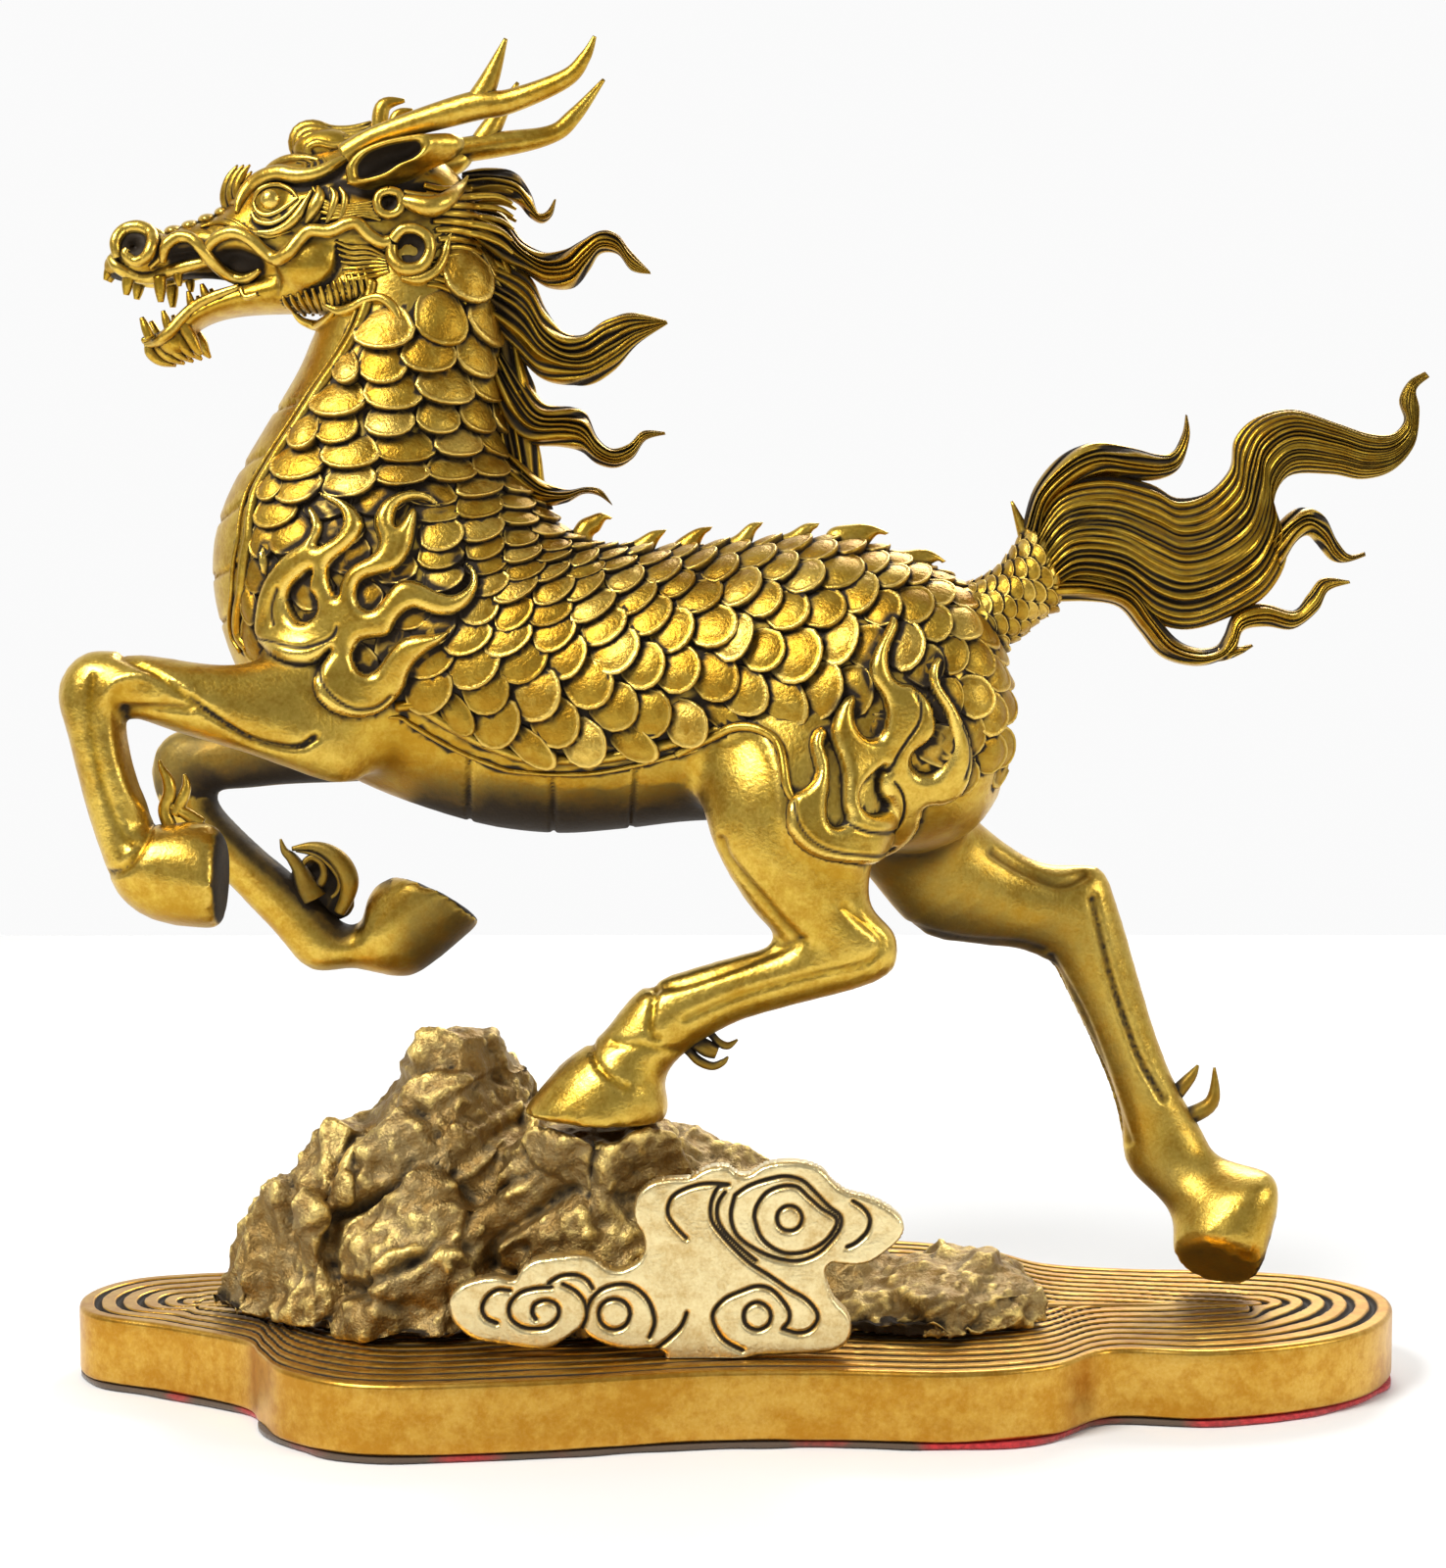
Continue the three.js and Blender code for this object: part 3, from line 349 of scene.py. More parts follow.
# Slabs that stand out from the near side of the rock: how far, and their outline in side view.
ROCK_SLABS = [
    (2.6, [(-77.3, 44.3), (-76.6, 48.7), (-74.5, 51.4), (-71.3, 53.4), (-68.4, 55.7), (-65.5, 57.9),
     (-62.8, 57.7), (-60.3, 56.3), (-58.5, 53.8), (-57.6, 49.9), (-58.6, 47.5), (-61.7, 45.9), (-65.6,
     44.3), (-69.9, 42), (-74.2, 39.2), (-77.1, 40.4)]),
    (3, [(-76.6, 28.6), (-76.4, 34.5), (-75.2, 36.9), (-71.5, 39.2), (-67.6, 41.6), (-64.4, 43.8),
     (-61.7, 46.9), (-59, 47.9), (-55.5, 47.1), (-52, 45.1), (-49.9, 42), (-50.5, 38), (-53.3, 34.9),
     (-57.9, 32.9), (-62.8, 30.7), (-66.5, 28.8), (-71.6, 26.8), (-75.5, 26.6)]),
    (2.2, [(-70.1, 24.6), (-68.9, 26.6), (-65.4, 28.4), (-61.8, 29.9), (-57.9, 31.9), (-55, 33.9),
     (-51.1, 32.9), (-48.2, 30.3), (-49, 27), (-52.2, 24.6), (-56.1, 23), (-61.9, 24.2), (-66.8,
     23.4)]),
    (2.4, [(-77.9, 15.9), (-76.7, 19.8), (-74.6, 22.6), (-69.7, 23.2), (-65, 22.2), (-63.5, 18.5),
     (-64.3, 15.1), (-71.3, 14.3)]),
    (2.4, [(-88.8, 17.1), (-87.2, 22.2), (-85.4, 27), (-85.4, 32.1), (-84.7, 37.2), (-83.7, 42), (-81.5,
     43.2), (-78.3, 40.2), (-77.7, 36.3), (-80.1, 34.1), (-80.9, 30.1), (-84, 28), (-85.1, 23.4),
     (-86.9, 17.1)]),
    (2.2, [(-100.1, 23.4), (-99.2, 29.3), (-96.8, 36.9), (-93.8, 42), (-90.8, 44.1), (-88.7, 43), (-90,
     37.2), (-90.6, 31.3), (-91.9, 25.4), (-93.1, 20.6), (-98.1, 21.4)]),
    (2, [(-81.5, 48.7), (-81, 54), (-79.4, 58.5), (-77.1, 60.1), (-74.6, 58.5), (-75.2, 54.6), (-77.2,
     50.6), (-79.2, 47.9)]),
    (1.8, [(-92.4, 44.3), (-91.4, 47.9), (-89.8, 50), (-86.9, 50), (-85.4, 48.9), (-87.7, 46.9), (-88.9,
     43.9)]),
    (2.6, [(-64.6, 67.9), (-63.8, 71.4), (-60.7, 74.1), (-56.4, 74.9), (-53.8, 73), (-53, 69.8), (-55.3,
     67.5), (-59.6, 66.7)]),
    (2.4, [(-39.2, 55), (-37.6, 57.5), (-31.8, 58.5), (-26.4, 56.9), (-24.8, 54), (-26, 50.6), (-28.7,
     47.9), (-31.6, 45.9), (-34.5, 47.9), (-37.2, 49.9), (-38.8, 51.8)]),
    (2.6, [(-44, 29), (-44.3, 33.3), (-40.4, 36.1), (-36.9, 39), (-33.6, 41.4), (-30.7, 43.4), (-27.4,
     42.8), (-25.6, 39.2), (-25.1, 34.9), (-26.8, 30.9), (-31.7, 29.9), (-37.5, 29)]),
    (2.2, [(-24.4, 47.1), (-23.8, 52.6), (-20.9, 55.5), (-15.1, 56.9), (-9.3, 55.9), (-5.2, 53), (-4.3,
     49.1), (-8.9, 46.7), (-14.7, 45.5), (-19.4, 44.3)]),
    (1.6, [(-51.2, 45.9), (-48.5, 49.1), (-44.6, 52.6), (-40.3, 55), (-38.4, 51), (-40.4, 47.9), (-44.6,
     45.9), (-48.5, 43.9)]),
    (1.8, [(-49, 34.9), (-47.8, 40), (-43.9, 43.9), (-38.4, 45.9), (-36.9, 42.8), (-40, 39.2), (-43.9,
     36.5), (-46.3, 32.1), (-48.2, 30.9)]),
    (1.8, [(-66.4, 59.3), (-63.5, 63.2), (-58.5, 65.5), (-52.6, 65.5), (-48.8, 62.8), (-49.6, 59.7),
     (-54.6, 58.5), (-60.8, 58.9), (-64.3, 57.7)]),
]
# Each crag from foot to top: x, y, half length and half width of the foot, then x, y, z and the same two
# of the top.
CRAGS = [
    [-92, -3, 14.5, 13, -90, -3, 43.5, 4.5, 6],
    [-80, -8, 18, 20, -74.5, -4, 55, 7, 8],
    [-62, -4, 28, 28, -54, 2, 72.5, 8, 10],
    [-48, 4, 24, 26, -46, 4, 66, 8, 9],
    [-26, -10, 34, 23.5, -25, -19, 56.5, 17, 12.5],
    [2, 6, 32, 24, -12, 8, 52.5, 6, 8],
    [16, 4, 30, 24, 4, 4, 42, 6, 10],
    [42, -8, 31, 27, 48, -4, 27.5, 8, 12],
    [-62, -25, 17, 10, -54, -21, 42, 9, 5],
    [-46, 24, 32, 20, -46, 18, 50, 16, 9],
    [8, 26, 34, 17, 4, 20, 36, 16, 8],
]


def crag(number, foot_x, foot_y, foot_long, foot_wide, top_x, top_y, top_z, top_long, top_wide):
    """A leaning block with uneven corners, broken once between its foot and its top."""
    side = np.arange(CRAG_SIDES)
    angle = 2 * math.pi * (side + 0.37 * number) / CRAG_SIDES
    rings = []
    for share, z in ((0, PLATE_FOOT), (0.4, PLATE_FOOT + (top_z - PLATE_FOOT) * 0.66), (1, top_z)):
        rough = 1 + 0.12 * np.sin(5 * side + 3 * number + 7 * share)
        along = (foot_long + (top_long - foot_long) * share) * rough
        wide = (foot_wide + (top_wide - foot_wide) * share) * rough
        x = foot_x + (top_x - foot_x) * share + np.cos(angle) * along
        y = foot_y + (top_y - foot_y) * share + np.sin(angle) * wide
        rings.append(np.column_stack([x, y, np.full(CRAG_SIDES, z)]))
    return skin(np.array(rings))


def skin(rings):
    """A closed shell over rings of points, with a flat fan at each end."""
    count, sides = rings.shape[:2]
    first = np.arange(sides)
    second = (first + 1) % sides
    tip = count * sides
    last = (count - 1) * sides
    fans = [np.stack([np.full(sides, tip), second, first], 1),
            np.stack([np.full(sides, tip + 1), first + last, second + last], 1)]
    points = np.vstack([rings.reshape(-1, 3), rings[0].mean(0), rings[-1].mean(0)])
    return outward(points, np.vstack([band(count, sides), *fans]))


def joined(shells):
    """Several shells as one list of points and triangles."""
    starts = np.cumsum([0] + [len(points) for points, _ in shells])
    return (np.vstack([points for points, _ in shells]),
            np.vstack([triangles + start for (_, triangles), start in zip(shells, starts)]))


def reworked(points, triangles, kind, **settings):
    """The mesh after one of Blender's modifiers, as points and triangles."""
    mesh = bpy.data.meshes.new("work")
    mesh.from_pydata((points * MM).tolist(), [], triangles.tolist())
    work = bpy.data.objects.new("work", mesh)
    bpy.context.scene.collection.objects.link(work)
    modifier = work.modifiers.new("work", kind)
    for key, value in settings.items():
        setattr(modifier, key, value)
    made = work.evaluated_get(bpy.context.evaluated_depsgraph_get()).to_mesh()
    made.calc_loop_triangles()
    new_points = np.empty(len(made.vertices) * 3, np.float32)
    made.vertices.foreach_get("co", new_points)
    new_triangles = np.empty(len(made.loop_triangles) * 3, np.int32)
    made.loop_triangles.foreach_get("vertices", new_triangles)
    bpy.data.objects.remove(work)
    bpy.data.meshes.remove(mesh)
    return new_points.reshape(-1, 3).astype(float) / MM, new_triangles.reshape(-1, 3)


def fused(shells, voxel):
    """One skin round all the shells."""
    return reworked(*joined(shells), "REMESH", mode="VOXEL", voxel_size=voxel * MM, adaptivity=0)


def thinned(points, triangles, most):
    """The same shape with fewer triangles."""
    if len(triangles) <= most:
        return points, triangles
    return reworked(points, triangles, "DECIMATE", ratio=most / len(triangles) * 0.995)


def sums(count, at, values):
    """For each point, the sum of the rows of values that belong to it."""
    return np.stack([np.bincount(at, values[:, k], count) for k in range(values.shape[1])], 1)


def edges_of(triangles):
    ends = np.vstack([triangles[:, [0, 1]], triangles[:, [1, 2]], triangles[:, [2, 0]]])
    return np.unique(np.sort(ends, axis=1), axis=0)


def relaxed(points, triangles, times, share=0.5):
    """The points moved towards the mean of their neighbours, several times."""
    ends = edges_of(triangles)
    here = np.concatenate([ends[:, 0], ends[:, 1]])
    there = np.concatenate([ends[:, 1], ends[:, 0]])
    number = np.maximum(np.bincount(here, minlength=len(points)), 1)[:, None]
    share = np.reshape(share, (-1, 1))
    for _ in range(times):
        mean = sums(len(points), here, points[there]) / number
        points = points + (mean - points) * share
    return points


def facing(points, triangles):
    """The direction that each point faces."""
    a, b, c = (points[triangles[:, k]] for k in range(3))
    across = np.cross(b - a, c - a)
    total = sums(len(points), triangles.ravel(), np.repeat(across, 3, axis=0))
    return total / np.maximum(np.linalg.norm(total, axis=1), 1e-12)[:, None]


def sharpness(points, triangles):
    """1 along ridges and corners, -1 along creases, 0 where the surface is flat."""
    ends = edges_of(triangles)
    here = np.concatenate([ends[:, 0], ends[:, 1]])
    there = np.concatenate([ends[:, 1], ends[:, 0]])
    number = np.maximum(np.bincount(here, minlength=len(points)), 1)
    away = points[there] - points[here]
    length = np.linalg.norm(away, axis=1)
    bend = -np.einsum("ij,ij->i", away, facing(points, triangles)[here]) / np.maximum(length, 1e-6)
    value = np.bincount(here, bend, len(points)) / number
    for _ in range(2):
        value = 0.5 * value + 0.5 * np.bincount(here, value[there], len(points)) / number
    return value


def shade_of(points, triangles, solids, reach):
    """How much of the sky over each point is shut off within reach: 0 in the open, 1 in a pit."""
    first = 0.2
    rays = 6
    tree = BVHTree.FromPolygons(solids[0].tolist(), solids[1].tolist())
    out = facing(points, triangles)
    helper = np.where(np.abs(out[:, :1]) < 0.7, [[1, 0, 0]], [[0, 1, 0]])
    side = np.cross(out, helper)
    side /= np.linalg.norm(side, axis=1)[:, None]
    other = np.cross(out, side)
    shut = np.zeros(len(points))
    starts = (points + out * first).tolist()
    for turn in range(rays):
        angle = 2 * math.pi * turn / rays
        ahead = out * 0.62 + (side * math.cos(angle) + other * math.sin(angle)) * 0.78
        hits = [tree.ray_cast(p, d, reach)[3] for p, d in zip(starts, ahead.tolist())]
        shut += [0 if far is None else 1 - far / reach for far in hits]
    return shut / rays


def field(points, size, kind=noise.noise):
    """Noise with lumps of about that size, in millimetres."""
    return np.array([kind(p) for p in (points / size).tolist()])


def line_distance(x, z, line):
    """The distance in the side view from points to a line of straight stretches."""
    best = np.full(len(x), np.inf)
    for (ax, az), (bx, bz) in zip(line[:-1], line[1:]):
        length = max(math.hypot(bx - ax, bz - az), 1e-6)
        along = np.clip(((x - ax) * (bx - ax) + (z - az) * (bz - az)) / length ** 2, 0, 1)
        best = np.minimum(best, np.hypot(x - ax - (bx - ax) * along, z - az - (bz - az) * along))
    return best


def inside(x, z, polygon):
    """True for points inside the polygon in side view."""
    hit = np.zeros(len(x), bool)
    for (ax, az), (bx, bz) in zip(polygon, np.roll(polygon, -1, axis=0)):
        hit ^= ((az > z) != (bz > z)) & (x < (bx - ax) * (z - az) / (bz - az + 1e-12) + ax)
    return hit


rock_points, rock_faces = fused([crag(number, *row) for number, row in enumerate(CRAGS)], ROCK_VOXEL)
rock_points = relaxed(rock_points, rock_faces, 6)
slant = np.array([[0.80, 0.25, 0.55], [-0.1, 0.95, 0.2], [-0.5, 0.1, 0.8]])
rock_out = facing(rock_points, rock_faces)
slabs = field(rock_points @ slant.T * [0.42, 0.5, 1.0], 7.5, noise.cell)
wide_lumps = field(rock_points, 11)
small_lumps = field(rock_points, 3.2)
rock_relief = relaxed(np.column_stack([slabs - 0.5] * 3), rock_faces, 1)[:, 0] * 1.4
rock_relief += wide_lumps * 2.0 + small_lumps * 0.9 - 0.8
near_face = np.clip(-rock_out[:, 1] * 2.5, 0, 1) * (rock_points[:, 1] < 4)
for rise, outline in ROCK_SLABS:
    edge = smooth_rows(outline, 2, closed=True)
    off = line_distance(rock_points[:, 0], rock_points[:, 2], np.vstack([edge, edge[:1]]))
    off = np.where(inside(rock_points[:, 0], rock_points[:, 2], edge), off, -off)
    down = (rock_points[:, 0] - rock_points[:, 2]) - (edge[:, 0] - edge[:, 1]).min()
    crest = np.clip(1.1 - down / np.ptp(edge[:, 0] - edge[:, 1]), 0, 1)
    step = crest * near_face * rise * SLAB_STEP
    crack = np.exp(-((off + 1.3) / 0.8) ** 2)
    rock_relief += step * np.clip(off / SLAB_EDGE + 0.5, 0, 1) - 0.35 * step * crack
rock_relief += np.clip(field(rock_points, 1.9), -0.6, 0.6) * 0.9
rock_points = rock_points + rock_out * rock_relief[:, None]
rock_points[:, 2] = np.maximum(rock_points[:, 2], PLATE_FOOT)
rock_points[:, 1] = np.maximum(rock_points[:, 1], ROCK_FRONT)
rock_points = relaxed(rock_points, rock_faces, 1)
rock_points, rock_faces = thinned(rock_points, rock_faces, ROCK_FACES)
rock_sharp = sharpness(rock_points, rock_faces)
rock_brass = brass("rock_brass", (.04, .026, .012, 1), (.33, .235, .10, 1), (.92, .68, .22, 1),
                   rough=0.5, pits=1.1, mottled=1.3)
# Painted shade where the rock's own crags shut off the sky and in its creases; the crests are rubbed to gold.
new_piece("rock_mound_brass", rock_points, rock_faces, rock_brass, "rock_brass", "rock_mound", {
    "hollow": shade_of(rock_points, rock_faces, (rock_points, rock_faces), 5) * 1.1 - rock_sharp * 0.8,
    "edge": np.clip(rock_sharp * 3, -0.4, 0.8),
    "tone": field(rock_points, 14) * 0.5,
})

# Cloud plaque. A flat brass cloud that stands upright at the front of the rock: its scrolls are cut
# in the front as rounded grooves, and its face is polished paler than the rest.
CLOUD_BACK = -37.5
CLOUD_FRONT = -41.5
CLOUD_ROUND = 0.9
CLOUD_GRID = 0.378
GROOVE_DEPTH = 0.9
GROOVE_HALF = 0.42
CLOUD_OUTLINE = [
    (-52.7, 26.6), (-50.8, 29), (-47.7, 30.4), (-43.6, 31), (-40.4, 30.4), (-38.9, 32.5), (-36.6, 34.2),
     (-33.6, 34.8), (-30.5, 35.2), (-28.3, 35.4), (-25.8, 35.2), (-23.8, 34), (-22.1, 32.7), (-20.2,
     32.3), (-18.1, 32.9), (-16, 34.4), (-15.1, 36.7), (-15.5, 39.2), (-16.8, 41.3), (-17.1, 44),
     (-16.4, 47), (-13.9, 49.3), (-10.5, 50.1), (-6.4, 50.3), (-4.5, 51.4), (-2.3, 52.4), (0.8, 52.6),
     (2.8, 51.2), (4.3, 50.9), (5.8, 51.4), (7.9, 52.8), (11.5, 53.5), (15.6, 53.3), (19, 52), (21.1,
     49.7), (23.9, 47.6), (28, 46.5), (31.4, 44.9), (34.1, 42.8), (34.9, 40.4), (33.9, 38.1), (31.5,
     36), (28.7, 34), (25.7, 33.3), (22.6, 33.5), (20.9, 33.7), (19.8, 32.3), (20, 30.2), (21.5, 26.6),
     (24, 23.9), (24.9, 21.2), (24.2, 18.5), (22.1, 16.7), (18.5, 16), (11.7, 15.6), (6.1, 15.2), (2.6,
     13.5), (-10.2, 13.5), (-11.3, 16), (-14, 16.9), (-16.6, 16.7), (-20, 16.9), (-23.8, 18.1), (-26.1,
     19.4), (-27.6, 20.6), (-29.9, 19.1), (-32.5, 17.5), (-35.2, 16.7), (-39.3, 17.1), (-44, 17.9),
     (-48, 18.7), (-51.4, 21.2), (-52.7, 23.5),
]
CLOUD_GROOVES = [
    [(2.3, 47), (4.9, 48.8), (8.5, 50.1), (12, 50.7), (15.2, 49.9), (17.7, 47.6), (20.3, 44.9), (22.6,
     43), (22.6, 40.7), (20.9, 38.1), (18.3, 35.6), (14.9, 34.2), (11.5, 34.4), (7.9, 35.6), (4.3,
     37.7), (2.3, 39.8), (1.5, 43.2), (2.3, 47)],
    [(6, 42.8), (6.6, 45.1), (8.5, 47.6), (11.5, 48.8), (14.3, 48.6), (16.4, 46.7), (19, 44.4), (21.9,
     42.3), (20.9, 39.4), (18.5, 37.1), (15.6, 35.8), (12.1, 35.6), (9, 37.1), (7, 39.4), (6, 42.8)],
    [(1.1, 49.1), (-2.3, 49.3), (-5.6, 48.8), (-9.2, 47.2), (-10.5, 45.1), (-10.5, 43), (-9, 40.7), (-7,
     38.6)],
    [(1.1, 49), (-0.8, 48.6), (-1.9, 46.7), (-2.4, 44.4), (-2.1, 41.9), (-0.4, 39.4), (2.6, 36.1), (5.5,
     33.5), (9.1, 31.2), (12.6, 28.7), (15.7, 26.9), (17.7, 24.8), (18.3, 22.7), (16.8, 20.6), (14.4,
     20), (11.7, 20.8)],
    [(0.4, 47.6), (-0.9, 45.5), (-1.1, 42.7), (0.2, 40), (3.4, 36.7), (6.4, 34.2)],
    [(25, 45.9), (27.1, 44.4), (28.3, 42.3), (27.7, 39.8), (25.6, 37.7), (23.9, 36.9)],
    [(3.8, 16.6), (0.4, 18.5), (-1.5, 21.2), (-1.9, 23.9), (0.2, 26.6), (3.8, 28.3), (6.6, 29.2), (9.1,
     28.7), (11.1, 26.9), (12.7, 24.4), (12.7, 22.3), (11.5, 20.8)],
    [(-27.4, 20.6), (-26.3, 23.3), (-26.8, 26.2), (-28.5, 28.3), (-30.9, 29.6)],
    [(-33.6, 29.8), (-31.3, 31.2), (-28.3, 31.4), (-26.2, 30.4), (-25.1, 28.7)],
    [(-14.2, 19.1), (-13.2, 22.1), (-14.2, 26), (-16.6, 28.7), (-19.6, 29.6), (-23.2, 28.7), (-25.5,
     26.4), (-26.3, 23.7)],
    [(-41, 28.3), (-43.4, 28.5), (-45.5, 27.1), (-46.5, 24.8), (-45.7, 22.9), (-43.6, 21.9)],
    [(-33, 29), (-36.6, 28.7), (-39.4, 27.7), (-41.2, 25.4), (-41, 22.9), (-38.9, 21.2), (-36.1, 20.8),
     (-33.4, 21.4), (-31.7, 23.5), (-32.1, 25.6), (-34.2, 26.4), (-36.3, 25.6), (-36.8, 23.9), (-36.1,
     22.7)],
    [(-7, 23.9), (-8.1, 21.2), (-10.6, 18.7), (-12.9, 16.9)],
    [(15.3, 42.5), (14.9, 41.2), (14, 40.3), (12.8, 40), (11.6, 40.3), (10.7, 41.2), (10.4, 42.5),
     (10.7, 43.7), (11.6, 44.6), (12.8, 44.9), (14, 44.6), (14.9, 43.7), (15.3, 42.5)],
    [(9.3, 23.3), (8.9, 21.9), (7.9, 21), (6.6, 20.6), (5.3, 21), (4.3, 21.9), (4, 23.3), (4.3, 24.6),
     (5.3, 25.6), (6.6, 26), (7.9, 25.6), (8.9, 24.6), (9.3, 23.3)],
    [(-17.9, 23.7), (-18.4, 22.1), (-19.5, 21), (-21, 20.6), (-22.5, 21), (-23.6, 22.1), (-24, 23.7),
     (-23.6, 25.2), (-22.5, 26.3), (-21, 26.7), (-19.4, 26.3), (-18.3, 25.2), (-17.9, 23.7)],
]


def outline_sheet(outline, grid, margin, depth):
    """A fine grid of points in side view over an outline, its triangles, and how deep each point lies
    inside. Points next to the edge are moved onto it."""
    low, high = np.min(outline, axis=0) - margin - grid, np.max(outline, axis=0) + margin + grid
    across, up = (np.arange(first, last, grid) for first, last in zip(low, high))
    x, z = (each.ravel() for each in np.meshgrid(across, up, indexing="ij"))
    deep = depth(x, z)
    slope_x, slope_z = (each.ravel() / grid for each in np.gradient(deep.reshape(len(across), -1)))
    snap = np.abs(deep) < grid * 0.5
    x, z = x - slope_x * deep * snap, z - slope_z * deep * snap
    deep[snap] = 0
    i, j = np.meshgrid(np.arange(len(across) - 1), np.arange(len(up) - 1), indexing="ij")
    first = (i * len(up) + j).ravel()
    corners = np.stack([first, first + len(up), first + len(up) + 1, first + 1], 1)
    corners = corners[(deep[corners] >= -margin).all(axis=1)]
    triangles = np.vstack([corners[:, [0, 1, 2]], corners[:, [0, 2, 3]]])
    return np.column_stack([x, 0 * x, z]), triangles, deep


def backed(front, back, triangles):
    """A sheet that faces the near side made into a closed shell, with another sheet as its back."""
    count = len(front)
    ends = np.vstack([triangles[:, [0, 1]], triangles[:, [1, 2]], triangles[:, [2, 0]]])
    a, b = ends[~np.isin(ends[:, 0] * count + ends[:, 1], ends[:, 1] * count + ends[:, 0])].T
    sides = np.vstack([np.stack([b, a, a + count], 1), np.stack([b, a + count, b + count], 1)])
    return np.vstack([front, back]), np.vstack([triangles, triangles[:, ::-1] + count, sides])


def cloud_depth(x, z):
    edge = smooth_rows(CLOUD_OUTLINE, 3, closed=True)
    off = line_distance(x, z, np.vstack([edge, edge[:1]]))
    return np.where(inside(x, z, edge), off, -off)


cloud_points, cloud_faces, cloud_deep = outline_sheet(CLOUD_OUTLINE, CLOUD_GRID, 0, cloud_depth)
kept, cloud_faces = np.unique(cloud_faces, return_inverse=True)
cloud_points, cloud_deep, cloud_faces = cloud_points[kept], cloud_deep[kept], cloud_faces.reshape(-1, 3)
cloud_points[:, 2] = np.maximum(cloud_points[:, 2], PLATE_FOOT)
cloud_groove = np.zeros(len(cloud_points))
for groove in CLOUD_GROOVES:
    off = line_distance(cloud_points[:, 0], cloud_points[:, 2], smooth_rows(groove, 4))
    cloud_groove = np.maximum(cloud_groove, np.exp(-(off / GROOVE_HALF) ** 2))
rounded = CLOUD_ROUND * (1 - np.sqrt(1 - (1 - np.clip(cloud_deep / CLOUD_ROUND, 0, 1)) ** 2))
uneven = field(cloud_points, 9) * 0.25
cloud_face = CLOUD_FRONT + rounded + uneven + cloud_groove * GROOVE_DEPTH
cloud_front = cloud_points + np.outer(cloud_face, [0, 1, 0])
cloud_points, cloud_faces = backed(cloud_front, cloud_points + [0, CLOUD_BACK, 0], cloud_faces)
cloud_groove = np.concatenate([cloud_groove, cloud_groove * 0])
cloud_brass = brass("cloud_brass", (.03, .018, .006, 1), (.72, .52, .19, 1), (1, .85, .48, 1),
                    rough=0.36, pits=0.3, mottled=0.5)
new_piece("cloud_plaque_brass", cloud_points, cloud_faces, cloud_brass, "cloud_brass", "cloud_plaque",
          {"hollow": cloud_groove * 1.1, "edge": 0.5 - cloud_groove, "tone": 0.1})

# Horse, body and legs. The whole animal is one hollow brass casting. Trunk, legs and the root of the
# tail are smooth forms that swell into one another, with lines cut along the bones and tendons.
BODY_VOXEL = 1.3
BODY_FACES = 112000
NEAR_SIDE = -4
FAR_SIDE = 2
BLEND_ROUNDS = 90
# Sections from end to end, in side view: low x and z, high x and z, middle y and half depth. The cut
# of a hoof also leans, by the last two numbers.
TRUNK = [
    [-77.5, 222, -54.5, 239, 0, 12],
    [-82, 215, -47, 228.5, 0, 13.5],
    [-85.5, 207, -46.5, 215, 0, 15],
    [-91.5, 197, -46, 202.5, 0, 17],
    [-97.5, 187, -45, 192.5, 0, 19.5],
    [-102, 177, -41.5, 184.5, 0, 22],
    [-103.5, 166, -36.5, 179, 0, 24],
    [-101.5, 154, -31.5, 174, 0, 25],
    [-96.5, 142, -25.5, 171.5, 0, 25.5],
    [-86.5, 130, -19, 171, 0, 25.5],
    [-74.5, 123.5, -12.5, 170.5, 0, 25],
    [-61.5, 118.5, -6.5, 170.5, 0, 24.5],
    [-47.5, 114.5, 0.5, 171, 0, 24.5],
    [-33.5, 113, 7.5, 171.5, 0, 24.5],
    [-19.5, 114, 15.5, 172, 0, 24.5],
    [-6.5, 115.5, 22.5, 172, 0, 24.5],
    [6.5, 115.5, 30, 170.5, 0, 25],
    [19.5, 113, 37, 168.5, 0, 25.5],
    [32.5, 109.5, 44, 165.5, 0, 25],
    [43.5, 109.5, 49.5, 161.5, 0, 22.5],
    [51.5, 114, 54, 153, 0, 17],
    [56.5, 121, 57, 143, 0, 9],
]
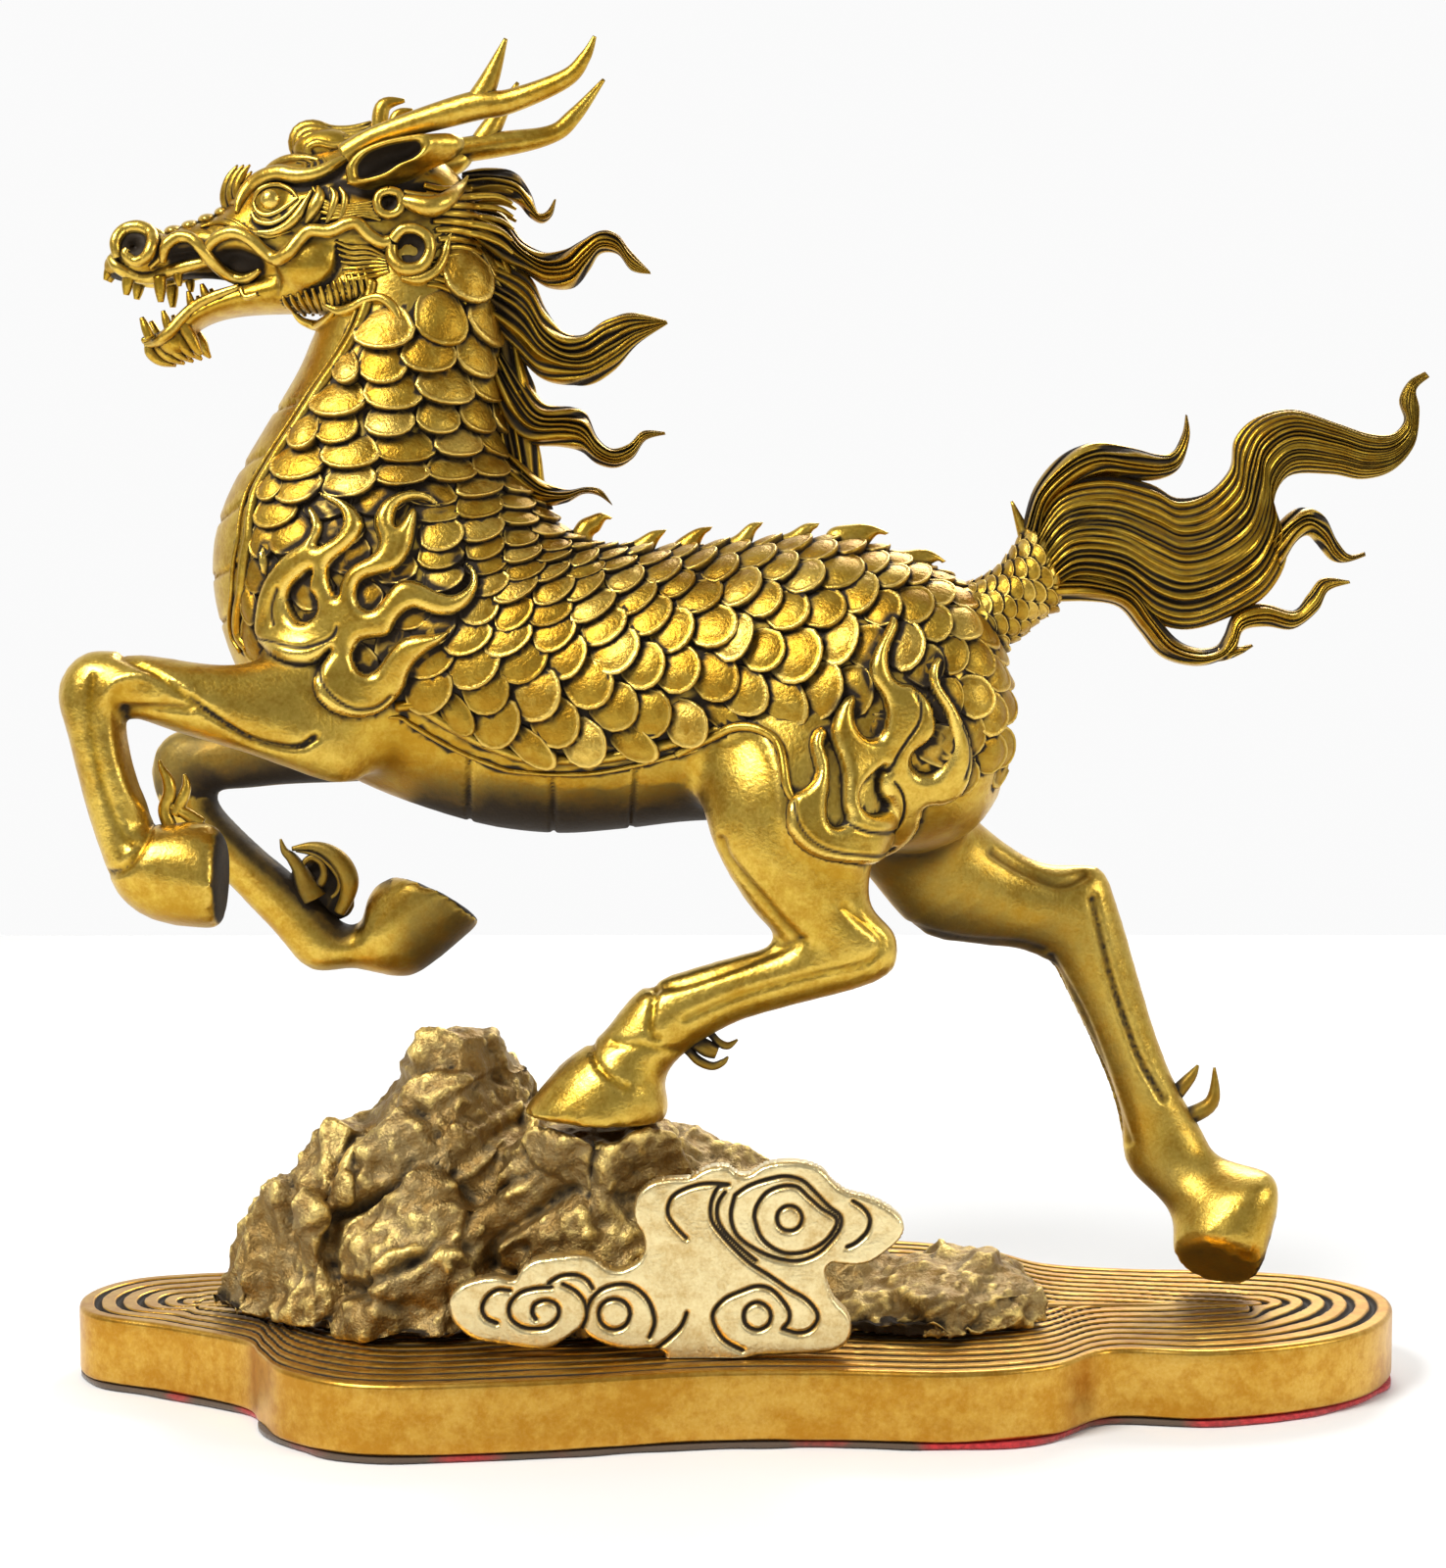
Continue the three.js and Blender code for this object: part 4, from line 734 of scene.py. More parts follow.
LEGS = {
    "nearFore": [
        [-66.5, 126.5, -78.5, 155.5, -15, 8],
        [-75, 122.5, -85.5, 150, -22, 9],
        [-93.5, 129.5, -98.5, 149.5, -25, 8.5],
        [-103, 133.5, -105.5, 149.5, -25.5, 8],
        [-113, 137.5, -113, 150.5, -26, 7.5],
        [-116.5, 138.5, -124, 151, -26, 7],
        [-116.5, 137, -129.5, 144, -26, 7.5],
        [-116, 131.5, -127.5, 134, -26, 7.5],
        [-113.5, 122, -124.5, 121, -26, 7],
        [-112, 116.5, -121.5, 111.5, -26, 7.5],
        [-107.5, 117.5, -118, 103, -26, 9],
        [-102, 118, -110.5, 98, -26, 10],
        [-97.5, 115.5, -98, 96.5, -26, 10.5],
    ],
    "farFore": [
        [-64, 124, -66, 147, 14, 8],
        [-78, 120, -80, 143, 18, 8.5],
        [-92.5, 120, -93.5, 139, 20, 8],
        [-103, 120, -106, 134, 21, 7.5],
        [-106.5, 120.5, -117, 132, 21.5, 7],
        [-107.5, 119, -121, 124, 22, 6.5],
        [-105.5, 115.5, -117, 112.5, 22, 6],
        [-98, 108, -107, 102, 22, 5.5],
        [-87.5, 99, -96.5, 91, 22, 5.5],
        [-81, 92, -88, 81.8, 22, 6.3],
        [-77, 91.5, -78.5, 82, 22, 6.2],
        [-75.5, 97, -71.5, 80.5, 22, 8],
        [-73.5, 100, -64.5, 81, 22, 9, 1, 1],
        [-69.5, 102, -51, 92, 22, 10.5, 2, 2.5],
    ],
    "nearHind": [
        [-0.5, 136, 21.5, 147.5, -15, 9],
        [-4, 128.5, 29.5, 136.5, -19, 11],
        [-4.5, 122, 32, 125, -21, 11.5],
        [-3, 115, 31, 113.5, -22, 10.5],
        [1, 107, 29, 106.5, -23, 9],
        [6, 99.5, 29.5, 100.5, -23, 8],
        [11, 94, 34.5, 94.5, -23, 7.3],
        [8.5, 92.7, 32, 86.5, -23, 7],
        [-4.5, 89, 12, 80.5, -23, 6.3],
        [-12, 86.5, 2.5, 77.5, -23, 6.5],
        [-17.5, 83.5, -7.5, 71.5, -23, 7],
        [-24.5, 75, -11.5, 66, -23, 8],
        [-32, 69.5, -10.5, 62, -23, 10],
        [-40.5, 59.2, -11, 57.6, -23, 11.5],
    ],
    "farHind": [
        [16, 118, 30, 141, 12, 9],
        [28, 103, 40, 129, 15, 10.5],
        [41, 90.5, 51, 117.5, 18, 10.5],
        [51.5, 87.5, 60.5, 108.5, 20, 9],
        [61.5, 86.5, 69, 104.5, 20, 7.5],
        [69, 83.5, 79.5, 104, 20, 6.5],
        [72, 78.5, 83.5, 96, 20, 6.2],
        [80, 62, 91, 71.5, 20, 5.8],
        [84, 50.5, 96, 58.5, 20, 6.2],
        [86, 40, 102, 48, 20, 7],
        [92, 34, 105.5, 42.5, 17, 7.2],
        [95, 30.5, 116.5, 38, 12, 8.6, 2, 2.5],
        [95, 26, 111.5, 17.8, 7, 6.5, 3.5, 5],
    ],
}
TAIL_ROOT = [
    [43, 142, 41, 162, 0, 10],
    [49, 145, 47, 163, 0, 8.5],
    [54.5, 150, 52, 164, 0, 7.5],
    [60, 153.5, 57, 167.5, 0, 7],
    [64.5, 157.5, 60.5, 172.5, 0, 6.5],
    [70, 160, 64, 177, 0, 6.5],
]
# Where a limb swells into the trunk: the middle and the radius of the blend.
BLENDS = [(-82, -22, 140, 20), (-80, 18, 132, 20), (12, -22, 132, 18), (36, 15, 116, 18), (46, 0, 156, 12)]
# Lines cut in legs and belly, in side view: depth, half width and the points. Below zero is a ridge.
NEAR_LINES = [
    (1, 0.8, [(-116.8, 150.6), (-108.9, 146.5), (-100.5, 140.4), (-94.9, 136.1), (-89.9, 133.3),
                (-82.7, 132.3), (-79.3, 134.2)]),
    (0.8, 1.0, [(-115.6, 139.9), (-109.6, 140.3), (-102.9, 140.3)]),
    (-0.8, 1.4, [(-103.3, 143.6), (-110.8, 146.5), (-116.5, 145.5), (-118.8, 141.8), (-118.5, 133.3),
                 (-115.9, 123.8), (-111.2, 117.1)]),
    (0.5, 0.7, [(-121.4, 146.4), (-121.9, 137), (-119.8, 125.6), (-116.2, 116.1), (-113.4, 114.2)]),
    (0.5, 0.8, [(-115.8, 139.8), (-115.9, 135.1), (-114.2, 125.6), (-110.5, 118.9)]),
    (0.8, 0.8, [(-111.1, 118), (-112, 114), (-115, 109.5), (-119, 108)]),
    (0.6, 0.9, [(-0.2, 114.2), (1.3, 110.4), (7, 103.7), (11.8, 98), (14.6, 95.1)]),
    (-0.7, 1.6, [(1.3, 135.1), (6, 136), (8.9, 133.2), (10.8, 127.5), (11.7, 119.9), (14.6, 114.2),
                 (21.2, 110.4), (25, 109.4)]),
    (0.55, 0.8, [(-14.9, 85), (-7.3, 86), (4.2, 89.9), (11.9, 93.1), (15.7, 94.7)]),
    (0.5, 0.8, [(-7.3, 79.2), (4.2, 84.1), (17.6, 87.9), (27.2, 89.9), (30, 91.8), (31, 94.7),
                (27.1, 98.5), (23.7, 101.4)]),
    (0.7, 0.8, [(-13.4, 85), (-14, 77.3), (-12.6, 75.4)]),
    (0.7, 0.8, [(-26.4, 74.7), (-24.1, 69.9), (-18.7, 66.1)]),
    (0.5, 0.8, [(-21.6, 74.6), (-14.9, 74), (-9.2, 72.6)]),
]
# The same on the far hind leg, as it shows between the legs.
FAR_LINES = [
    (0.9, 0.9, [(77.6, 97.6), (79.3, 89.8), (81.7, 80.4), (84.9, 71.0), (88.1, 63.1), (92.9, 55.3)]),
    (0.7, 0.8, [(69.2, 85.1), (75.5, 74.1), (79.5, 64.7), (82.7, 55.3), (86.0, 45.8)]),
    (0.9, 1.0, [(56.6, 107.7), (62.8, 103.8), (70.6, 100.7), (76.0, 102.6)]),
    (0.5, 0.9, [(39.2, 91.9), (50.4, 89.1), (61.7, 88.2), (67.4, 86.6)]),
]
# The same across the smooth strip along throat and belly, which they part into broad plates.
STRIP_LINES = [
    (0.6, 0.5, [(-104, 175), (-99, 178), (-94, 181)]), (0.6, 0.5, [(-106, 164), (-99, 166.5), (-94, 169)]),
    (0.6, 0.5, [(-104, 155), (-99, 157), (-95, 159)]), (0.6, 0.5, [(-99, 186), (-95, 188.5), (-91, 190)]),
    (0.6, 0.5, [(-94, 198), (-89, 199), (-85, 200)]), (0.6, 0.5, [(-50, 129), (-51, 120), (-52, 112)]),
    (0.6, 0.5, [(-33.5, 126), (-34, 118), (-35, 110)]), (0.6, 0.5, [(-17, 128), (-18, 120), (-19, 112)]),
]


def sections(stations, steps):
    """Rows of [low x, low z, high x, high z, middle y, half depth, lean x, lean z], smoothly filled in."""
    return smooth_rows([(list(row) + [0, 0])[:8] for row in stations], steps)


def round_points(rows, angle, swell=1, depth=1):
    """Points of a body seen from the side: angle 0 is its low end, and a quarter turn the near side."""
    low_x, low_z, high_x, high_z, y, half, lean_x, lean_z = rows
    up = 0.5 - 0.5 * np.cos(angle) * swell
    near = np.sin(angle) * swell
    return np.stack([low_x + (high_x - low_x) * up + lean_x * near, y - half * near * depth,
                     low_z + (high_z - low_z) * up + lean_z * near], -1)


def loft(stations, sides, steps, relief=None):
    """A body from its sections. Relief gives the swell and depth for each share and angle."""
    rows = sections(stations, steps)
    angle = np.linspace(0, 2 * math.pi, sides, endpoint=False)[None, :]
    share = np.linspace(0, 1, len(rows))[:, None]
    swell, depth = relief(share, angle) if relief else (1, 1)
    return skin(round_points([rows[:, k, None] for k in range(8)], angle, swell, depth))


def rod(points, sides=12, steps=6):
    """A round bar that tapers along a smooth line of [x, y, z, radius]."""
    rows = smooth_rows(points, steps)
    rows[:, 3] = np.maximum(rows[:, 3], 0.08)
    spots = rows[:, :3]
    along = np.gradient(spots, axis=0)
    along /= np.maximum(np.linalg.norm(along, axis=1), 1e-9)[:, None]
    up = np.cross(along, (0, 1, 0))
    up /= np.maximum(np.linalg.norm(up, axis=1), 1e-9)[:, None]
    side = np.cross(up, along)
    angle = np.linspace(0, 2 * math.pi, sides, endpoint=False)[None, :, None]
    radius = rows[:, 3, None, None]
    return skin(spots[:, None] + up[:, None] * np.cos(angle) * radius
                + side[:, None] * np.sin(angle) * radius)


def other_side(shell):
    points, triangles = shell
    return points * [1, -1, 1], triangles[:, ::-1]


def lines_cut(points, lines, where):
    """How far grooves along lines in side view sink the points. A negative depth raises a ridge."""
    x, z = points[:, 0], points[:, 2]
    sunk = np.zeros(len(points))
    for depth, half_width, line in lines:
        line = smooth_rows(line, 4)
        reach = 3 * half_width
        here = (where & (x > line[:, 0].min() - reach) & (x < line[:, 0].max() + reach)
                & (z > line[:, 1].min() - reach) & (z < line[:, 1].max() + reach))
        off = line_distance(x[here], z[here], line)
        sunk[here] += depth * np.exp(-(off / half_width) ** 2)
    return sunk


core_points, core_faces = fused(
    [loft(TRUNK, 72, 8), loft(TAIL_ROOT, 48, 6)] + [loft(leg, 48, 8) for leg in LEGS.values()],
    BODY_VOXEL)
core_points = relaxed(core_points, core_faces, 4)
blend = np.zeros(len(core_points))
for x, y, z, radius in BLENDS:
    off = np.linalg.norm(core_points - [x, y, z], axis=1)
    blend = np.maximum(blend, np.exp(-(off / radius) ** 4))
core_points = relaxed(core_points, core_faces, BLEND_ROUNDS, blend * 0.6)
core_points, core_faces = reworked(core_points, core_faces, "SUBSURF", levels=1)
core_points = relaxed(core_points, core_faces, 2)
core_out = facing(core_points, core_faces)
sunk = lines_cut(core_points, NEAR_LINES, core_points[:, 1] < NEAR_SIDE)
sunk += lines_cut(core_points, FAR_LINES, (core_points[:, 1] > FAR_SIDE) & (core_out[:, 1] < 0.2))
sunk += lines_cut(core_points, STRIP_LINES, np.abs(core_out[:, 1]) < 0.97)
core_points = core_points + core_out * -sunk[:, None]
core_points, core_faces = thinned(core_points, core_faces, BODY_FACES)
core_cut = lines_cut(core_points, NEAR_LINES, core_points[:, 1] < NEAR_SIDE)
core_cut += 0.5 * lines_cut(core_points, FAR_LINES, core_points[:, 1] > FAR_SIDE)

# Flames. Licks of flame stand out on shoulder and haunch of either side, cast in one with the body,
# with rounded edges and a line cut along them.
FLAME_GRID = 0.475
FLAME_RISE = 3
FLAME_ROUND = 2.3
FLAME_BACK = 2.5
FLAME_FAR_OFF = -9.0
# Each flame in side view: its outline and the opening in it.
FLAMES = [
    ([(-80.3, 179.2), (-81, 178.1), (-80.3, 176.2), (-80.3, 174.1), (-81.7, 172.2), (-83.6, 171.1),
     (-85.9, 169.4), (-88, 167.1), (-89.6, 164.8), (-90.8, 162), (-91.6, 158.5), (-91.8, 155.3), (-91.1,
     152.6), (-89.4, 150.5), (-86.7, 149), (-83.7, 148.2), (-80.6, 148.2), (-78.3, 149.2), (-76.6,
     150.9), (-78.1, 148.8), (-79.5, 146.5), (-79.9, 144.2), (-79, 141.5), (-77.1, 139.6), (-74.2,
     138.3), (-71.4, 137.9), (-68.5, 138.5), (-65.6, 140), (-63.1, 142.3), (-61.7, 144.4), (-61, 146.5),
     (-59.6, 148.8), (-56.9, 151.1), (-54.6, 152.6), (-52.9, 155.1), (-55.9, 154.7), (-59.7, 154.5),
     (-62.2, 153.8), (-64, 152.4), (-65.3, 150.9), (-66.5, 149.2), (-68, 147.5), (-69.7, 146.9), (-71.1,
     147.8), (-71.8, 149.9), (-71.4, 151.7), (-70.3, 153), (-68.3, 153.4), (-66.4, 153.6), (-64.9,
     154.1), (-63.9, 155.5), (-63, 157.2), (-61.6, 158.5), (-59.9, 159.1), (-57.6, 158.3), (-54.9,
     157.6), (-52.5, 157.8), (-50.2, 159.1), (-48.4, 161.2), (-47.7, 163.7), (-48, 166.1), (-49.3,
     167.8), (-51.8, 169), (-50.5, 167.5), (-49.5, 165.8), (-49.7, 164), (-51.1, 162.7), (-53, 162.1),
     (-55.3, 162.7), (-57.4, 163.7), (-59.3, 164.6), (-61.6, 165), (-63.5, 164.4), (-65, 162.9), (-66.4,
     161), (-67.5, 159.7), (-69, 159.3), (-70.4, 160.4), (-70.9, 162.1), (-70.5, 163.9), (-69.4, 165),
     (-67.1, 165.6), (-64.8, 166.1), (-62.9, 167.1), (-61.3, 169), (-60.4, 171.3), (-60, 173.7), (-59.7,
     176.2), (-59.7, 177.9), (-60.7, 178.7), (-61.8, 177.7), (-62.8, 176), (-63.6, 175.3), (-63.9,
     176.4), (-63.5, 178.1), (-62.6, 179.2), (-60.9, 179.8), (-58.6, 179.8), (-56.7, 179), (-55, 178.7),
     (-56.5, 180.7), (-58.6, 181.9), (-60.8, 182.3), (-63.3, 181.9), (-65.6, 180.7), (-67.1, 179.2),
     (-68.1, 177), (-67.9, 174.7), (-67.2, 172.8), (-67.4, 170.9), (-68.6, 169.6), (-70.5, 168.6),
     (-72.4, 167.5), (-73.7, 165.9), (-74.5, 164.2), (-74.9, 162), (-75.9, 163.7), (-76.4, 165.6),
     (-76.2, 167.3), (-75.2, 168.6), (-73.5, 169.9), (-71.6, 171.6), (-70.2, 173.4), (-69.7, 175.3),
     (-70.4, 177.3), (-71.9, 179.2), (-74.2, 180.7), (-76.6, 181.5), (-79.5, 181.9), (-77.2, 180),
     (-75.3, 178.7), (-74.2, 176.8), (-74.4, 174.7), (-75.6, 173.2), (-77.3, 172.2), (-78.6, 171.6),
     (-77.9, 173.4), (-77.6, 175.3), (-78.6, 177.5)],
     [(-80, 166.5), (-81.9, 165.2), (-83.7, 163.5), (-84.5, 161.2), (-83.7, 158.7), (-82.2, 156.8),
     (-80.7, 157), (-79.2, 158.7), (-79.3, 161), (-80.5, 162.7), (-80.6, 164.4)]),
    ([(-89.8, 171.8), (-90.6, 169.4), (-90.3, 166.7), (-89.3, 164.8), (-88.6, 167.1), (-88.7, 169.6)],
     []),
    ([(19.1, 136.4), (17.4, 135.3), (16.6, 132.8), (17.2, 129.9), (17.6, 127.6), (16.8, 125.7), (15.3,
     124.5), (13.8, 123.8), (12.6, 122.4), (12.1, 120.5), (12.1, 118.4), (12.6, 116.3), (14, 114.2),
     (16.1, 112.4), (18.8, 111.1), (21.9, 110.3), (25.3, 109.7), (29.1, 109.5), (32, 109.9), (34.9,
     111.3), (37.2, 113.4), (38.7, 115.9), (39.3, 118.4), (39.6, 120.1), (40.6, 120.9), (42.9, 120.9),
     (45.4, 121.9), (46.9, 123.4), (47.8, 125.1), (48.4, 127.4), (48.6, 130.5), (48.2, 133.4), (47.2,
     136.2), (45.8, 139.1), (44.3, 141.8), (42.9, 143.7), (42.2, 145.6), (42.3, 147.7), (42.9, 149),
     (41.8, 149.8), (40.4, 148.6), (39.7, 146.6), (40.1, 143.7), (41.4, 141.2), (42.8, 138.9), (43.5,
     136.6), (43.9, 134.3), (43.8, 131.8), (42.8, 129.5), (41.3, 127.6), (39.6, 127.2), (37.9, 127.8),
     (36.9, 129.5), (37.3, 131.3), (38.6, 132.4), (40.1, 133.4), (41.3, 135.1), (41.4, 137), (41,
     139.5), (40.1, 141.4), (38.5, 143.1), (36.6, 144.5), (34.9, 144.8), (33.4, 145.8), (32.6, 147.5),
     (32.4, 149.6), (32.8, 151.5), (33.7, 153.4), (34.5, 155.3), (34.3, 156.6), (32.9, 157.8), (32.2,
     156.6), (31.1, 154.4), (29.9, 152.5), (29, 150.6), (28.2, 148.1), (28.4, 145.6), (29.6, 143.7),
     (30.7, 142), (31.3, 140.1), (31.3, 138), (30.8, 135.9), (29.4, 134.3), (27.9, 134.3), (26.6,
     135.3), (25.8, 137), (25.6, 139.3), (26, 141.2), (25.6, 142.5), (23.9, 142.2), (22.3, 140.4),
     (21.2, 137.8), (20.6, 135.1), (21.2, 132.4), (22.2, 129.9), (22.8, 127), (22.8, 124.2), (22.8,
     121.3), (23.4, 119), (22.8, 117.6), (21.3, 117.4), (20.3, 118.8), (20.1, 121.3), (20.5, 124.2),
     (20.7, 127), (20.5, 129.9), (19.7, 132.8), (20.3, 134.9)],
     [(30.6, 128.4), (28.9, 127.2), (27.2, 125.5), (26.2, 123.4), (26.6, 121.1), (28, 119.7), (29.9,
     119.5), (31.2, 120.3), (31.2, 121.7), (30, 123), (29.7, 125.1), (30, 127)]),
]
# Lines cut along the flames: depth, half width and the points.
FLAME_LINES = [
    (.6, .4, [(-91, 154.1), (-89, 152), (-85.5, 150.7), (-81.7, 150.5), (-78.3, 151.9), (-75.6, 153.6),
     (-74.6, 155.7)]),
    (.6, .4, [(-78.5, 148.4), (-78.7, 145.7), (-77.8, 143.3), (-75.9, 141.3), (-73.2, 140), (-70.4,
     140), (-67.5, 140.8), (-64.8, 142.7)]),
    (.6, .4, [(13.4, 121.7), (14, 118.4), (15.7, 115.5), (18.6, 113.2), (22.4, 111.9), (27.2, 111.5),
     (31, 112), (34.5, 113.6)]),
    (.6, .4, [(32.1, 125.9), (34.2, 124), (35.2, 121.3), (34.8, 119), (32.9, 116.9), (30.1, 115.9),
     (27.2, 116.1), (24.5, 117.2), (23, 118.6)]),
    (.6, .4, [(37.4, 142.7), (38.2, 140.1), (37.8, 137.2), (35.9, 134.3), (33.3, 130.9), (31.2,
     127.8)]),
    (.6, .4, [(46, 136.6), (47.2, 133.4), (47.4, 129.9), (46.5, 126.7)]),
    (.6, .4, [(-86, 163.3), (-87.2, 159.5), (-86.6, 155.7)]),
]


def flame_depth(x, z, flames=FLAMES):
    """How deep points lie inside the flames in side view. Outside them it is negative."""
    deep = np.full(len(x), FLAME_FAR_OFF)
    for outline, hole in flames:
        rings = [smooth_rows(ring, 3, closed=True) for ring in (outline, hole) if ring]
        low, high = rings[0].min(0) - 6, rings[0].max(0) + 6
        here = (x > low[0]) & (x < high[0]) & (z > low[1]) & (z < high[1])
        off = np.min([line_distance(x[here], z[here], np.vstack([ring, ring[:1]])) for ring in rings],
                     axis=0)
        full = np.sum([inside(x[here], z[here], ring) for ring in rings], axis=0) == 1
        deep[here] = np.maximum(deep[here], np.where(full, off, -off))
    return deep


core_tree = BVHTree.FromPolygons(core_points.tolist(), core_faces.tolist())
flame_shells, flame_deep, flame_cut = [], [], []
for flame in FLAMES:
    points, faces, deep = outline_sheet(flame[0], FLAME_GRID, 1,
                                        lambda x, z: flame_depth(x, z, [flame]))
    spots = [core_tree.ray_cast((x, -90, z), (0, 1, 0))[0] for x, _, z in points]
    points[:, 1] = [spot.y if spot else 0 for spot in spots]
    faces = faces[(points[faces, 1] < NEAR_SIDE).all(axis=1)]
    kept, faces = np.unique(faces, return_inverse=True)
    points, deep, faces = points[kept], deep[kept], faces.reshape(-1, 3)
    points[:, 1] = relaxed(points, faces, 10)[:, 1]
    out = facing(points, faces)
    full = np.clip(deep / FLAME_ROUND, 0, 1)
    cut = lines_cut(points, FLAME_LINES, deep > 0)
    rise = np.where(deep > 0, FLAME_RISE * np.sqrt(1 - (1 - full) ** 2) - cut, 0.1 + deep * 1.5)
    shell = backed(points + out * rise[:, None], points + [0, FLAME_BACK, 0], faces)
    flame_shells += [shell, other_side(shell)]
    flame_deep += [np.concatenate([deep, deep * 0 - 1])] * 2
    flame_cut += [np.concatenate([cut, cut * 0])] * 2
flame_points, flame_faces = joined(flame_shells)
flame_deep, flame_cut = np.concatenate(flame_deep), np.concatenate(flame_cut)

# Fins and curls of hair, cast in one with the body: they stand on the crest of the back, behind the
# knees and fetlocks and at the root of the tail.
FIN_LIFT = 1
FIN_HALF = [2.2, 1.7, 1.1, 0.3]
# Each fin from its root to its tip: upper edge x, z and lower edge x, z.
FINS = [
    [(-29.4, 175.3, -26.4, 172.3), (-26.9, 176.6, -25, 173.6), (-24.6, 177.2, -23.8, 175.6), (-22.4,
     176.2, -22.8, 175.8)],
    [(-20.6, 170, -14.9, 166.8), (-17.2, 172, -14, 169.4), (-14.4, 173.5, -13, 171.6), (-11.4, 173.8,
     -11.9, 173)],
    [(-10.4, 170.6, -5.2, 167.3), (-7.8, 172.7, -4.8, 170.2), (-5, 174.1, -3.8, 172.6), (-2.1, 174.4,
     -2.6, 173.6)],
    [(-0.4, 171, 5.1, 168), (2.6, 172.7, 5.8, 170.8), (5.4, 175, 6.6, 173.2), (8.2, 175.3, 7.7, 174.5)],
    [(9.8, 171.6, 16.6, 168.8), (13.6, 173.3, 17.1, 171.4), (16.7, 175, 18.1, 173.4), (19.6, 175.1,
     19.1, 174.2)],
    [(21.7, 173.9, 28.5, 168.7), (25.7, 174.8, 29.7, 170.9), (29.7, 174.8, 31.3, 172.7), (33.7, 173.1,
     32.9, 172.7)],
    [(33.1, 169.4, 39, 165.6), (37.1, 169.6, 41.2, 166.2), (41.7, 169.7, 43.5, 167.4), (45.3, 167.4,
     44.5, 167)],
]
# Each curl along its middle: x, y, z and radius.
CURLS = [
    [(-91.1, 20, 107.7, 0.51), (-86.9, 20, 108.2, 1.03), (-83.4, 20, 107.1, 1.65), (-80.6, 20, 104.6,
     2.06), (-79.1, 20, 101.1, 2.06), (-79.6, 20, 97.5, 1.65), (-81.3, 20, 94, 1.24)],
    [(-90.3, 20, 107.3, 0.31), (-86.1, 20, 106.5, 0.62), (-82.8, 20, 104, 0.72), (-81, 20, 101.1, 0.72),
     (-81.4, 20, 98.6, 0.62), (-82.9, 20, 97.3, 0.41)],
    [(-87.4, 20, 99.4, 1.03), (-85.4, 20, 100.2, 1.03), (-84.3, 20, 102.3, 0.93), (-84.9, 20, 104.8,
     0.82), (-87, 20, 105.9, 0.72), (-88.8, 20, 104.4, 0.62), (-88.2, 20, 102.1, 0.82)],
    [(-93.5, 20, 109.8, 0.25), (-92.7, 20, 107.3, 0.82), (-91.1, 20, 105.7, 1.24), (-89.5, 20, 103.2,
     1.65), (-88.3, 20, 100.2, 2.47), (-86.6, 20, 96.9, 2.88)],
    [(-117.3, 22, 124.2, 0.31), (-116.5, 22, 122.1, 0.62), (-114.9, 22, 120.5, 0.83), (-113.6, 22,
     118.4, 0.83), (-114.9, 22, 116.3, 0.62)],
    [(-110.3, -25, 129.7, 0.3), (-109.8, -25, 128.1, 0.7), (-108.6, -25, 125.8, 1.2), (-108.3, -25,
     123.1, 1.4), (-109.3, -25, 119.8, 1.4), (-108, -25, 116, 1.5)],
    [(-105.4, -25, 127, 0.3), (-105, -25, 124.7, 0.9), (-105.8, -25, 122.2, 1.2), (-107.4, -25, 119,
     1.2)],
    [(-108.8, -25, 121.2, 0.8), (-104.9, -25, 119, 1.3), (-102.2, -25, 117, 1.5)],
    [(-8.3, -23, 74, 1.34), (-6.6, -23, 71.8, 0.96), (-4.7, -23, 69.9, 0.96), (-2.1, -23, 68.9, 0.86),
     (0, -23, 69.7, 0.67), (1, -23, 70.8, 0.23)],
    [(-4.3, -23, 77.1, 1.15), (-2.3, -23, 75.2, 0.77), (-0.8, -23, 73.6, 0.81), (1, -23, 73, 0.77),
     (2.9, -23, 74.2, 0.23)],
    [(-5.8, -23, 74, 1.53), (-3.1, -23, 72.4, 1.73), (-1.2, -23, 71.6, 1.34)],
    [(96, 20, 55, 1.8), (99.5, 20, 59, 1.2), (101, 20, 61.5, .3)],
    [(98, 20, 50, 2), (104, 20, 53.5, 1.6), (104.5, 20, 61, .3)],
    [(61.5, 0, 173, 1.6), (58.5, 0, 180.5, .3)],
]
# The disc behind the far front fetlock that its curls lie on, in sections like the trunk's.
CURL_DISC = [
    [-92, 99, -91.5, 103, 23, 1],
    [-89, 94, -88, 105.5, 23, 1.8],
    [-84, 92, -83.5, 105.5, 23, 1.8],
    [-80, 93, -79.5, 102, 23, 1.4],
    [-78.5, 95, -78.5, 99, 23, 0.6],
]


def fin(edges):
    """A fin rises from the back like a wave and hooks towards the tail."""
    root_x, root_z, low_x, low_z = edges[0]
    stations = [[low_x, low_z - 2, root_x - 2, root_z - 2.5, 0, 2.4]]
    stations += [[low_x, low_z + FIN_LIFT, x, z + FIN_LIFT, 0, wide]
                 for (x, z, low_x, low_z), wide in zip(edges, FIN_HALF)]
    return loft(stations, 16, 6)


trimmings = [loft(CURL_DISC, 24, 6)]
trimmings += [fin(edges) for edges in FINS]
trimmings += [rod(points) for points in CURLS]

# Scales. Rounded plates cast on the trunk row after row, each tip over the root of the next row.
# They leave a smooth strip along throat and belly, and they shrink towards the crest and the rump.
SKIN_STEPS = 24
RING_STEPS = 400
SKIN_STEP = 0.02
SCALE_SIDES = 18
SCALE_OUT = 2.9
SCALE_ROOT = -0.5
SCALE_DOME = 0.65
SCALE_USUAL = 6.4
CHANCE_TURN = 0.13
CHANCE_SIZE = 0.07
CHANCE_RISE = 0.14
CHANCE_SHIFT = 0.3
